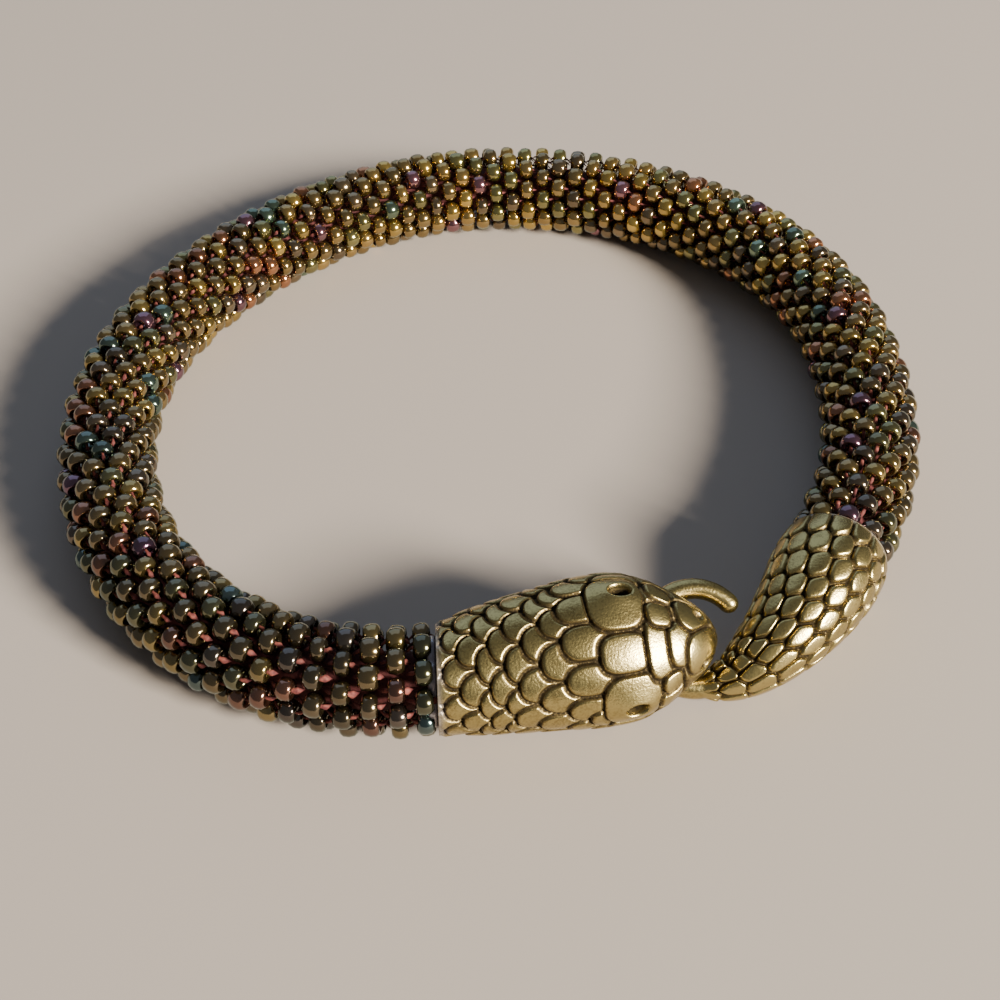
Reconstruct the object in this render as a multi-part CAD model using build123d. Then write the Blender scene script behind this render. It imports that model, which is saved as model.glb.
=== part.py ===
from build123d import *
import os
from collections import namedtuple
from math import asin, ceil, cos, exp, hypot, pi, radians, sin, tan

# Driving sizes of the bracelet, in millimetres and degrees

# The beaded rope and its crocheted core
ROPE_DIAMETER = 9.0        # over the beads
BEAD_DIAMETER = 2.1        # the bead wall is one bead thick
FIT_GAP = 0.05             # left between pieces that touch or are glued
RUN_SHARE = 0.45           # share of a run that the arc at its end takes

# Both metal cups and the glue in them
CUP_DIAMETER = ROPE_DIAMETER - 0.4
SOCKET_DEPTH = 4.0
CORE_REACH = 3.4           # how far the core goes into a socket
GLUE_FILM = 0.4            # round the core, in the socket
GLUE_LINE = 0.7            # between the last beads and the cup
GLUE_DIAMETER = CUP_DIAMETER - 0.5

# The head
HEAD_LENGTH = 22.2
HEAD_WIDTH = 11.6
HEAD_RISE = 4.5            # crown above the axis
HEAD_DROP = 4.1            # jaw below the axis
HEAD_BOW = 0.3             # middle of the head set towards the loop's inside
HEAD_TURN = 6.0            # from the rope's end direction, towards the loop's inside
HEAD_PITCH = 2.8
HEAD_ROLL = 42.0           # crown leaned out of the loop
HEAD_SQUARENESS = 0.93     # 1 is an ellipse, less is boxier
NECK_LENGTH = 3.0          # over which the cup's mouth turns into the head

# The mouth, a slot from side to side behind a solid lip
MOUTH_DROP = 1.5           # its middle plane below the head's axis
MOUTH_GAP = 2.7
LIP_LENGTH = 1.5           # solid snout in front of the slot
MOUTH_CLEARANCE = 0.45     # between the hook's wire and the mouth's walls

# The tail and its hook
TAIL_GIRTH = ROPE_DIAMETER - 0.1
TAIL_EASE = 0.38           # straightness at the cup, share of the tail's span
SHANK_EASE = 0.31          # straightness at the shank
SHANK_DIAMETER = 1.9
HOOK_RADIUS = 3.9          # to the middle of the wire
HOOK_TIP_DIAMETER = 1.6
HOOK_BACK = 1.5            # centre of the hook behind the snout's tip
HOOK_SWEEP = 234.0

# The scales
SCALE_RELIEF = 0.22
GROOVE_DEPTH = 0.26
GROOVE_WIDTH = 0.30
SCALE_BED = 0.09           # skin that shows between the head's scales
SCALE_SHARE = 0.42         # half width of a head scale over the spacing in its ring
CELL_STRETCH = 1.15        # length of a tail scale's cell over the pitch of its rings
EYE_DEPTH = 0.75
BROW_HEIGHT = 0.35
NOSTRIL_DEPTH = 0.4

# How finely the two castings are faceted
HEAD_CELL = 0.43
CROWN_COLUMNS = 44
JAW_COLUMNS = 12
SLOT_COLUMNS = 4
TAIL_CELL = 0.36
TAIL_COLUMNS = 30
WIRE_CELL = 0.6

# The rope's route from the head to the tail, in plan about the middle of the loop
ROPE_ROUTE = [
    (-5.3, -32.9), (-10.6, -33.2), (-17.9, -31.3), (-25.4, -26.4), (-31.6, -18.2),
    (-35.0, -7.6), (-35.2, 3.6), (-31.6, 14.4), (-25.0, 23.7), (-16.2, 31.0),
    (-5.5, 35.5), (6.4, 35.9), (17.8, 32.4), (27.5, 25.1), (33.3, 14.5),
    (34.6, 2.8), (33.8, -5.8), (31.9, -12.7), (28.9, -18.6),
]

# Sections of the head: place as a share of its length, sizes as shares of
# half its width, its rise and its drop
HeadSection = namedtuple("HeadSection", "along width rise drop")
HEAD_SECTIONS = [
    HeadSection(0.00, 0.72, 0.94, 0.97),
    HeadSection(0.05, 0.77, 0.95, 0.98),
    HeadSection(0.23, 0.87, 0.96, 0.97),
    HeadSection(0.40, 0.95, 0.98, 0.96),
    HeadSection(0.53, 1.00, 1.00, 0.97),
    HeadSection(0.63, 1.00, 0.98, 1.00),
    HeadSection(0.71, 0.96, 0.93, 1.00),
    HeadSection(0.79, 0.84, 0.84, 0.97),
    HeadSection(1.00, 0.73, 0.66, 0.90),
]
SNOUT_START = 0.78         # share of the head's length where it closes in
SNOUT_POINT = (1.10, 0.50)       # exponents of the plan's closing curve
SNOUT_BLUNTNESS = (2.6, 0.55)    # exponents of the profile's closing curve

# Rings of scales round the head: place, number round, turn of the first
# scale and how far the ring leans towards the snout on its inner side
ScaleRing = namedtuple("ScaleRing", "along count turn lean")
HEAD_RINGS = [
    ScaleRing(0.035, 10, 26, 0.00),
    ScaleRing(0.077, 10, 5, 0.00),
    ScaleRing(0.135, 10, 22, 0.00),
    ScaleRing(0.189, 10, 6, 0.01),
    ScaleRing(0.236, 10, 20, 0.02),
    ScaleRing(0.297, 11, 1, 0.02),
    ScaleRing(0.358, 11, 15, 0.05),
    ScaleRing(0.433, 12, -2, 0.03),
    ScaleRing(0.508, 13, 9, 0.00),
    ScaleRing(0.580, 13, 23, 0.00),
    ScaleRing(0.655, 13, 9, 0.00),
]
CROWN_START = 0.54         # from here on plates take the place of the crown's scales
RING_STOP = 55.0           # and the rings keep only what is further round than this

# Plates on the crown: place, turn from the crown's ridge, half sizes in shares of
# the head's length and width. Each covers the edges of those before it.
Plate = namedtuple("Plate", "along turn length width")
HEAD_PLATES = [
    Plate(0.634, 39, 0.102, 0.200),
    Plate(0.652, -44, 0.108, 0.195),
    Plate(0.642, -3, 0.094, 0.112),
    Plate(0.795, 54, 0.050, 0.090),
    Plate(0.795, -58, 0.050, 0.090),
    Plate(0.768, -3, 0.056, 0.196),
    Plate(0.846, -3, 0.054, 0.150),
    Plate(0.778, 26, 0.047, 0.084),
    Plate(0.800, -38, 0.042, 0.074),
    Plate(0.904, 34, 0.066, 0.125),
    Plate(0.922, -22, 0.068, 0.155),
]
CROWN_TURN = -2.0          # the eyes' and nostrils' middle line, from the crown's ridge
EYE_PLACE = Plate(0.660, 49, 0.041, 0.047)
BROW_SPREAD = 2.3
NOSTRIL_PLACE = Plate(0.925, 42, 0.014, 0.026)

# Sections of the tail: place along it, and girth from the shank's (0) to the full (1)
TailSection = namedtuple("TailSection", "along fullness")
TAIL_SECTIONS = [
    TailSection(0.00, 0.99),
    TailSection(0.10, 1.00),
    TailSection(0.23, 0.95),
    TailSection(0.39, 0.80),
    TailSection(0.56, 0.61),
    TailSection(0.70, 0.43),
    TailSection(0.82, 0.26),
    TailSection(0.92, 0.10),
    TailSection(1.00, 0.00),
]

# Rings of scales round the tail, as on the head; a ring leans towards the hook on
# its inner side
TAIL_RINGS = [
    ScaleRing(0.089, 15, 16, 0.028),
    ScaleRing(0.167, 15, 4, 0.040),
    ScaleRing(0.268, 15, 16, 0.059),
    ScaleRing(0.368, 15, 4, 0.072),
    ScaleRing(0.473, 15, 16, 0.072),
    ScaleRing(0.581, 15, 4, 0.078),
    ScaleRing(0.697, 15, 16, 0.080),
    ScaleRing(0.792, 11, 20, 0.039),
    ScaleRing(0.880, 8, 33, 0.00),
    ScaleRing(0.975, 8, 10, 0.00),
]
TAIL_FIRST_TURN = 4.0      # of the facets, so that their corners fall on the scales' grooves


def smooth_value(rows, column, share):
    """A column of a table of sections at any share of the length, smooth between rows."""
    places = [row.along for row in rows]
    values = [getattr(row, column) for row in rows]
    share = min(max(share, places[0]), places[-1])
    k = max(i for i in range(len(rows) - 1) if places[i] <= share)
    span = places[k + 1] - places[k]

    def slope(i):
        low, high = max(i - 1, 0), min(i + 1, len(rows) - 1)
        return (values[high] - values[low]) / (places[high] - places[low]) * span

    x = (share - places[k]) / span
    start, end = slope(k), slope(k + 1)
    return ((2 * x**3 - 3 * x**2 + 1) * values[k] + (x**3 - 2 * x**2 + x) * start
            + (3 * x**2 - 2 * x**3) * values[k + 1] + (x**3 - x**2) * end)


def ease(low, high, value):
    """0 below low and 1 above high, smooth in between."""
    x = min(max((value - low) / (high - low), 0.0), 1.0)
    return x * x * (3 - 2 * x)


def unit_in_plan(start, end):
    return (Vector(*end, 0) - Vector(*start, 0)).normalized()


# Where the pieces meet

rope_radius = ROPE_DIAMETER / 2
core_radius = rope_radius - BEAD_DIAMETER - FIT_GAP
socket_radius = core_radius + GLUE_FILM + 2 * FIT_GAP
route = [Vector(x, y, rope_radius) for x, y in ROPE_ROUTE]
head_end = unit_in_plan(ROPE_ROUTE[1], ROPE_ROUTE[0])
tail_end = unit_in_plan(ROPE_ROUTE[-2], ROPE_ROUTE[-1])
joint_length = GLUE_LINE + 2 * FIT_GAP
head_mouth = route[0] + head_end * joint_length
tail_mouth = route[-1] + tail_end * joint_length


# The head's shape

head_axis = (head_end.rotate(Axis.Z, HEAD_TURN) * cos(radians(HEAD_PITCH))
             + Vector(0, 0, sin(radians(HEAD_PITCH))))
Frame = namedtuple("Frame", "origin across up")


def leaned_frame(origin, axis):
    """The head's section plane: across points to the inner side, up to the crown."""
    level = Vector(0, 0, 1).cross(axis).normalized()
    above = axis.cross(level)
    lean = radians(HEAD_ROLL)
    return Frame(origin, level * cos(lean) + above * sin(lean),
                 above * cos(lean) - level * sin(lean))


def head_frame(along):
    """Section plane at a distance from the cup's mouth, square to the rope at the mouth."""
    turned = ease(0, NECK_LENGTH, along)
    axis = (head_end * (1 - turned) + head_axis * turned).normalized()
    frame = leaned_frame(head_mouth + head_axis * along, axis)
    bow = HEAD_BOW * sin(pi * along / HEAD_LENGTH)
    return frame._replace(origin=frame.origin + frame.across * bow)


def head_half_sizes(along):
    """Half width, rise and drop of the head at a distance from the cup's mouth."""
    share = along / HEAD_LENGTH
    settled = ease(0, NECK_LENGTH, along)
    closing = max(0.0, (share - SNOUT_START) / (1 - SNOUT_START))
    point, bluntness = SNOUT_POINT, SNOUT_BLUNTNESS
    plan = max(0.0, 1 - closing ** point[0]) ** point[1]
    profile = max(0.0, 1 - closing ** bluntness[0]) ** bluntness[1]
    full = (HEAD_WIDTH / 2, HEAD_RISE, HEAD_DROP)
    sizes = [smooth_value(HEAD_SECTIONS, name, share) * size
             for name, size in zip(("width", "rise", "drop"), full)]
    sizes = [CUP_DIAMETER / 2 * (1 - settled) + size * settled for size in sizes]
    return sizes[0] * plan, sizes[1] * profile, sizes[2] * profile


def section_offsets(along, turn):
    """Across and up offsets of the head's smooth skin, turn from 0 at the inner side."""
    width, rise, drop = head_half_sizes(along)
    boxy = 1 - (1 - HEAD_SQUARENESS) * ease(0, NECK_LENGTH, along)
    flat, tall = cos(turn), sin(turn)
    height = rise if tall > 0 else drop
    return (width * abs(flat) ** boxy * (1 if flat > 0 else -1),
            height * abs(tall) ** boxy * (1 if tall > 0 else -1))


def head_point(along, turn):
    across, up = section_offsets(along, turn)
    frame = head_frame(along)
    return frame.origin + frame.across * across + frame.up * up


def slot_turns(along):
    """Turns below the side at which the mouth's upper and lower edge run."""
    drop = max(head_half_sizes(along)[2], 0.01)
    start, end = mouth_back, mouth_front
    middle = (2 * along - start - end) / (end - start)
    rounding = max(0.0, 1 - abs(middle) ** 6) ** 0.5
    half = MOUTH_GAP / 2 * (0.35 + 0.65 * rounding)
    edges = (min((MOUTH_DROP - half) / drop, 0.40), min((MOUTH_DROP + half) / drop, 0.85))
    return [asin(max(edge, 0.02) ** (1 / HEAD_SQUARENESS)) for edge in edges]


def column_turns(along):
    """Turns of the head's columns in one section: crown, outer slot, jaw, inner slot."""
    top, bottom = slot_turns(along)
    spans = [(-top, pi + top, CROWN_COLUMNS), (pi + top, pi + bottom, SLOT_COLUMNS),
             (pi + bottom, 2 * pi - bottom, JAW_COLUMNS),
             (2 * pi - bottom, 2 * pi - top, SLOT_COLUMNS)]
    return [start + (end - start) * i / count for start, end, count in spans for i in range(count)]


# The hook's place follows the head's

mouth_radius = SHANK_DIAMETER / 2 + MOUTH_CLEARANCE
post_radius = HOOK_RADIUS - mouth_radius
hook_along = HEAD_LENGTH - HOOK_BACK
mouth_back = hook_along - HOOK_RADIUS - mouth_radius
mouth_front = HEAD_LENGTH - LIP_LENGTH
hook_frame = leaned_frame(head_mouth + head_axis * hook_along, head_axis)
hook_centre = hook_frame.origin - hook_frame.up * MOUTH_DROP


# Scales, plates and pits as heights over the smooth skin

Scale = namedtuple("Scale", "along turn length width")


def scale_height(scales, along, turn, girth, free_edge):
    """Relief of overlapping scales: each later one covers those listed before it."""
    height = SCALE_BED
    for scale in scales:
        x = (along - scale.along) / scale.length
        if abs(x) > 2:
            continue
        around = (turn - scale.turn + pi) % (2 * pi) - pi
        y = around * girth / scale.width
        if abs(y) > 2:
            continue
        reach = (abs(x) ** 2.3 + abs(y) ** 2.3) ** (1 / 2.3)
        outside = (reach - 1) * min(scale.length, scale.width)
        inside = 1 - ease(-GROOVE_WIDTH / 2, GROOVE_WIDTH / 2, outside)
        crown = SCALE_RELIEF * (0.75 + 0.35 * free_edge * x - 0.3 * min(reach, 1) ** 2)
        height += (crown - height) * inside
        height -= GROOVE_DEPTH * exp(-(outside / (GROOVE_WIDTH / 2)) ** 2)
    return max(height, -GROOVE_DEPTH)


def pit(place, along, turn, girth, side):
    """Reach from the middle of a pit that is on both sides: 0 in its middle, 1 at its rim."""
    centre = pi / 2 - radians(CROWN_TURN) - side * radians(place.turn)
    x = (along - place.along * HEAD_LENGTH) / (place.length * HEAD_LENGTH)
    y = (turn - centre) * girth / (place.width * HEAD_WIDTH)
    return hypot(x, y)


def head_scales():
    """All scales of the head from the neck to the snout, turns from the inner side."""
    scales = []
    for k, ring in enumerate(HEAD_RINGS):
        ahead = HEAD_RINGS[min(k + 1, len(HEAD_RINGS) - 1)].along
        behind = HEAD_RINGS[max(k - 1, 0)].along
        pitch = (ahead - behind) / 2 * HEAD_LENGTH
        if k in (0, len(HEAD_RINGS) - 1):
            pitch *= 2
        step = 2 * pi / ring.count
        for i in range(ring.count):
            lean = (radians(ring.turn) + i * step + pi) % (2 * pi) - pi
            if ring.along > CROWN_START and abs(lean) < radians(RING_STOP):
                continue
            along = (ring.along + ring.lean * sin(lean)) * HEAD_LENGTH
            width = head_half_sizes(along)[0] * step * SCALE_SHARE
            scales.append(Scale(along, pi / 2 - lean, pitch * 1.15, width))
    for plate in HEAD_PLATES:
        scales.append(Scale(plate.along * HEAD_LENGTH, pi / 2 - radians(plate.turn),
                            plate.length * HEAD_LENGTH, plate.width * HEAD_WIDTH))
    return scales


def head_relief(along, turn):
    width, rise, drop = head_half_sizes(along)
    girth = max((width + (rise + drop) / 2) / 2, 0.2)
    height = scale_height(HEAD_SCALES, along, turn % (2 * pi), girth, -1)
    top, bottom = slot_turns(along)
    for side in (-1, 1):
        reach = pit(EYE_PLACE, along, turn, girth, side)
        height += BROW_HEIGHT * exp(-(reach / BROW_SPREAD) ** 2)
        height -= (EYE_DEPTH + max(height, 0)) * (1 - ease(0.6, 1.1, reach))
        height -= NOSTRIL_DEPTH * (1 - ease(0.5, 1.5, pit(NOSTRIL_PLACE, along, turn, girth, side)))
    below = abs(((turn + pi / 2) % (2 * pi)) - pi) - pi / 2
    middle = (top + bottom) / 2
    calm_mouth = 1.0
    if mouth_back - 1 < along:
        calm_mouth = ease(middle, middle + 0.35 + bottom - middle, abs(below + middle))
    calm = ease(0, 0.8, along) * (1 - ease(0.955, 1.0, along / HEAD_LENGTH))
    return height * calm * calm_mouth


HEAD_SCALES = head_scales()


def skin_point(point_at, relief, along, turn, length):
    """A point of the smooth skin moved out along its normal by the relief there."""
    step = 0.02
    ahead, behind = min(along + step, length - 1e-4), max(along - step, 0)
    down = point_at(ahead, turn) - point_at(behind, turn)
    round_way = point_at(along, turn + step) - point_at(along, turn - step)
    outward = round_way.cross(down)
    if outward.length < 1e-9:
        return point_at(along, turn)
    return point_at(along, turn) + outward.normalized() * relief


# Faceted skins

def band(lower, upper):
    """Triangles between two closed rows of points, the upper as fine or half as fine."""
    faces = []
    count = len(upper)
    if len(lower) == count:
        for j in range(count):
            k = (j + 1) % count
            faces += [(lower[j], lower[k], upper[k]), (lower[j], upper[k], upper[j])]
        return faces
    for j in range(count):
        k = (j + 1) % count
        first, middle, last = lower[2 * j], lower[2 * j + 1], lower[(2 * j + 2) % len(lower)]
        faces += [(first, middle, upper[j]), (middle, upper[k], upper[j]), (middle, last, upper[k])]
    return faces


def fan(pole, row, closing):
    """Triangles from a pole to a closed row, at the start or the closing end of a skin."""
    pairs = [(row[j], row[(j + 1) % len(row)]) for j in range(len(row))]
    return [(a, b, pole) if closing else (pole, b, a) for a, b in pairs]


def solid_from(triangles):
    return Solid(Shell([Face(Wire.make_polygon(corners)) for corners in triangles]))


def socket_rows(frame, axis, turns):
    """Rows of a cup's socket from its bottom to its mouth."""
    rows = []
    for depth in (SOCKET_DEPTH, SOCKET_DEPTH / 2, 0):
        rows.append([frame.origin + axis * depth
                     + (frame.across * cos(turn) + frame.up * sin(turn)) * socket_radius
                     for turn in turns])
    return rows


def spaced(start, end, cell):
    """Places from start up to but not including end, about one cell apart."""
    count = ceil((end - start) / cell)
    return [start + (end - start) * i / count for i in range(count)]


def mouth_loop(first_row, last_row, first_column, columns):
    """Row and column numbers round the edge of one slot."""
    last_column = first_column + columns
    loop = [(first_row, c) for c in range(first_column, last_column)]
    loop += [(r, last_column) for r in range(first_row, last_row)]
    loop += [(last_row, c) for c in range(last_column, first_column, -1)]
    loop += [(r, first_column) for r in range(last_row, first_row, -1)]
    return loop


def head_solid():
    """The head with its socket, its scales and the mouth that the hook goes through."""
    places = spaced(0, mouth_back, HEAD_CELL)
    first_row = len(places)
    places += spaced(mouth_back, mouth_front, HEAD_CELL)
    last_row = len(places)
    places += spaced(mouth_front, HEAD_LENGTH - 0.25, HEAD_CELL)
    places += [HEAD_LENGTH - 0.25, HEAD_LENGTH - 0.08]
    rows = []
    for along in places:
        rows.append([skin_point(head_point, head_relief(along, turn), along, turn, HEAD_LENGTH)
                     for turn in column_turns(along)])
    count = len(rows[0])
    inner_slot = count - SLOT_COLUMNS
    outer_slot = CROWN_COLUMNS

    triangles = []
    mouth_turns = column_turns(0)
    socket = socket_rows(head_frame(0), head_end, mouth_turns)
    triangles += fan(head_mouth + head_end * SOCKET_DEPTH, socket[0], False)
    for lower, upper in zip(socket, socket[1:] + [rows[0]]):
        triangles += band(lower, upper)
    for r in range(len(rows) - 1):
        cells = band(rows[r], rows[r + 1])
        if first_row <= r < last_row:
            left_open = [*range(inner_slot, count), *range(outer_slot, outer_slot + SLOT_COLUMNS)]
            cells = [cell for i, cell in enumerate(cells) if i // 2 not in left_open]
        triangles += cells
    triangles += fan(head_mouth + head_axis * HEAD_LENGTH, rows[-1], True)

    inner = mouth_loop(first_row, last_row, inner_slot, SLOT_COLUMNS)
    loops = [[rows[r][c % count] for r, c in inner]]
    outer_loop = [rows[r][2 * outer_slot + SLOT_COLUMNS - (c - inner_slot) - outer_slot]
                  for r, c in inner]
    steps = 12
    for step in range(1, steps):
        loops.append([throat_point(places[r], (c - inner_slot) / SLOT_COLUMNS, step / steps,
                                   loops[0][i], outer_loop[i])
                      for i, (r, c) in enumerate(inner)])
    loops.append(outer_loop)
    for lower, upper in zip(loops, loops[1:]):
        triangles += band(lower, upper)
    return solid_from(triangles)


def throat_point(place, height_share, crossing, inner_point, outer_point):
    """A point of the mouth's wall between its inner (crossing 0) and outer (1) edge."""
    frame = hook_frame
    origin = hook_centre - head_axis * hook_along
    depth_share = (place - mouth_back) / (mouth_front - mouth_back)
    half = head_half_sizes(mouth_back)[0]

    def base(x):
        back = (mouth_back, half * (1 - 2 * x))
        front = (hook_along - post_radius * sin(pi * x), post_radius * cos(pi * x))
        return [b + (f - b) * depth_share for b, f in zip(back, front)]

    along, across = base(crossing)
    up = MOUTH_GAP * (height_share - 0.5)
    edge, target = (inner_point, 0) if crossing < 0.5 else (outer_point, 1)
    edge_along, edge_across = base(target)
    nearness = abs(1 - 2 * crossing) ** 5
    rest = edge - (origin + head_axis * edge_along + frame.across * edge_across + frame.up * up)
    return origin + head_axis * along + frame.across * across + frame.up * up + rest * nearness


# The tail's shape

shank_start = hook_centre - hook_frame.across * HOOK_RADIUS
tail_span = (shank_start - tail_mouth).length
tail_poles = [tail_mouth, tail_mouth + tail_end * (tail_span * TAIL_EASE),
              shank_start + head_axis * (tail_span * SHANK_EASE), shank_start]


def tail_centre(share):
    """Middle of the tail, which lies on its belly scales until it rises to the shank."""
    a, b, c, d = tail_poles
    x, y = share, 1 - share
    point = a * y**3 + b * (3 * x * y * y) + c * (3 * x * x * y) + d * x**3
    lying = tail_fullness(share) + SCALE_RELIEF + FIT_GAP
    lying += (rope_radius - lying) * (1 - ease(0, 0.15, share))
    rising = ease(0.55, 1, share)
    return Vector(point.X, point.Y, lying * (1 - rising) + point.Z * rising)


def hook_point(turn):
    """Middle of the wire, turn from the shank back through the mouth, in degrees."""
    angle = radians(-90 - turn)
    return hook_centre + (head_axis * cos(angle) + hook_frame.across * sin(angle)) * HOOK_RADIUS


def carried_frames(centres):
    """Section planes along a line of points, each turned as little as the line turns."""
    frames = []
    up = Vector(0, 0, 1)
    for i, centre in enumerate(centres):
        ahead = centres[min(i + 1, len(centres) - 1)] - centres[max(i - 1, 0)]
        axis = tail_end if i == 0 else ahead.normalized()
        across = up.cross(axis).normalized()
        up = axis.cross(across)
        frames.append(Frame(centre, across, up))
    return frames


def tail_fullness(share):
    """Radius of the tail by its table, the cup's own mouth left aside."""
    full, shank = TAIL_GIRTH / 2, SHANK_DIAMETER / 2
    return shank + (full - shank) * smooth_value(TAIL_SECTIONS, "fullness", share)


def tail_radius(share):
    settled = ease(0, NECK_LENGTH / tail_length, share)
    return CUP_DIAMETER / 2 * (1 - settled) + tail_fullness(share) * settled


def wire_radius(turn):
    share = ease(60, HOOK_SWEEP, turn)
    return (SHANK_DIAMETER + (HOOK_TIP_DIAMETER - SHANK_DIAMETER) * share) / 2


def tail_scales():
    """Staggered rings of scales from the cup to the hook, each at the middle of its cell."""
    scales = []
    for k, ring in enumerate(TAIL_RINGS):
        ahead = TAIL_RINGS[min(k + 1, len(TAIL_RINGS) - 1)].along
        behind = TAIL_RINGS[max(k - 1, 0)].along
        pitch = (ahead - behind) / 2 * tail_length
        if k in (0, len(TAIL_RINGS) - 1):
            pitch *= 2
        for i in range(ring.count):
            turn = radians(ring.turn) + 2 * pi * i / ring.count
            along = (ring.along - ring.lean * cos(turn)) * tail_length
            width = tail_radius(along / tail_length) * 2 * pi / ring.count
            scales.append(Scale(along, turn, pitch * CELL_STRETCH, width))
    return scales


def cell_height(scales, along, turn, girth):
    """Relief of scales that meet edge to edge, each a low pillow with a groove round it."""
    nearest, second, narrow = 9.0, 9.0, 1.0
    for scale in scales:
        x = (along - scale.along) / scale.length
        if abs(x) > 2:
            continue
        y = ((turn - scale.turn + pi) % (2 * pi) - pi) * girth / scale.width
        reach = x * x + y * y
        if reach < nearest:
            nearest, second, narrow = reach, nearest, min(scale.length, scale.width)
        elif reach < second:
            second = reach
    inside = min((second - nearest) / 2, 0.5)
    groove = exp(-(inside * narrow / (GROOVE_WIDTH / 2)) ** 2)
    return SCALE_RELIEF * (1 - (1 - 2 * inside) ** 2) - GROOVE_DEPTH * groove


def tail_relief(along, turn):
    share = along / tail_length
    height = cell_height(TAIL_SCALES, along, turn, tail_radius(share))
    return height * ease(0, 0.8, along) * (1 - ease(0.94, 1, share))


tail_length = sum((tail_centre(i / 50) - tail_centre((i + 1) / 50)).length for i in range(50))
TAIL_SCALES = tail_scales()


def facet_turns(count):
    return [radians(TAIL_FIRST_TURN) + 2 * pi * j / count for j in range(count)]


def ring_of_points(frame, radii):
    return [frame.origin + (frame.across * cos(turn) + frame.up * sin(turn)) * radius
            for turn, radius in zip(facet_turns(len(radii)), radii)]


def tail_solid():
    """The tail with its socket and scales, drawn out into the hook."""
    tail_rows = ceil(tail_length / TAIL_CELL)
    hook_rows = ceil(radians(HOOK_SWEEP) * HOOK_RADIUS / WIRE_CELL)
    shares = [i / tail_rows for i in range(tail_rows)]
    turns = [HOOK_SWEEP * i / hook_rows for i in range(hook_rows + 1)]
    centres = [tail_centre(share) for share in shares] + [hook_point(turn) for turn in turns]
    frames = carried_frames(centres)

    rows = []
    for share, frame in zip(shares, frames):
        columns = TAIL_COLUMNS if share < 0.90 else TAIL_COLUMNS // 2
        radii = [tail_radius(share) + tail_relief(share * tail_length, turn)
                 for turn in facet_turns(columns)]
        rows.append(ring_of_points(frame, radii))
    for turn, frame in zip(turns, frames[tail_rows:]):
        rows.append(ring_of_points(frame, [wire_radius(turn)] * (TAIL_COLUMNS // 2)))
    last = frames[-1]
    tip_axis = last.across.cross(last.up)
    tip_radius = wire_radius(HOOK_SWEEP)
    for rounding in (30, 55, 75):
        angle = radians(rounding)
        frame = Frame(last.origin + tip_axis * (tip_radius * sin(angle)), last.across, last.up)
        rows.append(ring_of_points(frame, [tip_radius * cos(angle)] * (TAIL_COLUMNS // 2)))

    socket = socket_rows(frames[0], tail_end, facet_turns(TAIL_COLUMNS))
    triangles = fan(tail_mouth + tail_end * SOCKET_DEPTH, socket[0], False)
    rows = socket + rows
    for lower, upper in zip(rows, rows[1:]):
        triangles += band(lower, upper)
    triangles += fan(last.origin + tip_axis * tip_radius, rows[-1], True)
    return solid_from(triangles)


# The rope, its core and the glue

def arc_radii(points):
    """For each corner of a route, an arc as large as its two runs allow."""
    radii = []
    for before, corner, after in zip(points, points[1:], points[2:]):
        turn = (corner - before).get_angle(after - corner)
        run = min((corner - before).length, (after - corner).length)
        radii.append(RUN_SHARE * run / tan(radians(turn / 2)))
    return radii


def swept_along(points, radii, outer, inner=0.0):
    """A round bar or tube along straight runs joined by tangent arcs."""
    path = FilletPolyline(*points, radius=radii)
    section = Circle(outer) if inner == 0 else Circle(outer) - Circle(inner)
    plane = Plane(origin=path @ 0, z_dir=path % 0)
    solid = sweep(plane * section, path=path)
    ideal = section.area * path.length
    print(f"swept volume {solid.volume:.1f}, section times length {ideal:.1f}")
    return solid


def glue_ring(mouth, into_cup):
    """Glue in a socket round the core, with the bead of glue that shows at the cup."""
    plane = Plane(origin=mouth, z_dir=into_cup)
    outside = extrude(plane.offset(-GLUE_LINE - FIT_GAP) * Circle(GLUE_DIAMETER / 2), GLUE_LINE)
    inside = extrude(plane.offset(-FIT_GAP) * Circle(socket_radius - FIT_GAP), CORE_REACH)
    bore = extrude(plane.offset(-2 * GLUE_LINE) * Circle(core_radius + FIT_GAP),
                   3 * GLUE_LINE + CORE_REACH)
    return outside + inside - bore


radii = arc_radii(route)
print("route radii " + " ".join(f"{radius:.1f}" for radius in radii))
core_route = list(route)
core_route[0] = head_mouth + head_end * CORE_REACH
core_route[-1] = tail_mouth + tail_end * CORE_REACH

pieces = {
    "bead_rope": swept_along(route, radii, rope_radius, rope_radius - BEAD_DIAMETER),
    "thread_core": swept_along(core_route, radii, core_radius),
    "glue_ring_head": glue_ring(head_mouth, head_end),
    "glue_ring_tail": glue_ring(tail_mouth, tail_end),
    "snake_head": head_solid(),
    "snake_tail": tail_solid(),
}

# The origin is under the middle of the whole bracelet, on the surface it lies on
box = Compound(children=[Compound(solid.wrapped) for solid in pieces.values()]).bounding_box()
middle = Vector((box.min.X + box.max.X) / 2, (box.min.Y + box.max.Y) / 2, 0)
print(f"loop middle moved by {-middle.X:.3f}, {-middle.Y:.3f}, lowest {box.min.Z:.3f}")

os.makedirs("parts", exist_ok=True)
for name, solid in pieces.items():
    export_step(Pos(-middle.X, -middle.Y, 0) * solid, f"parts/{name}.step")
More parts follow.
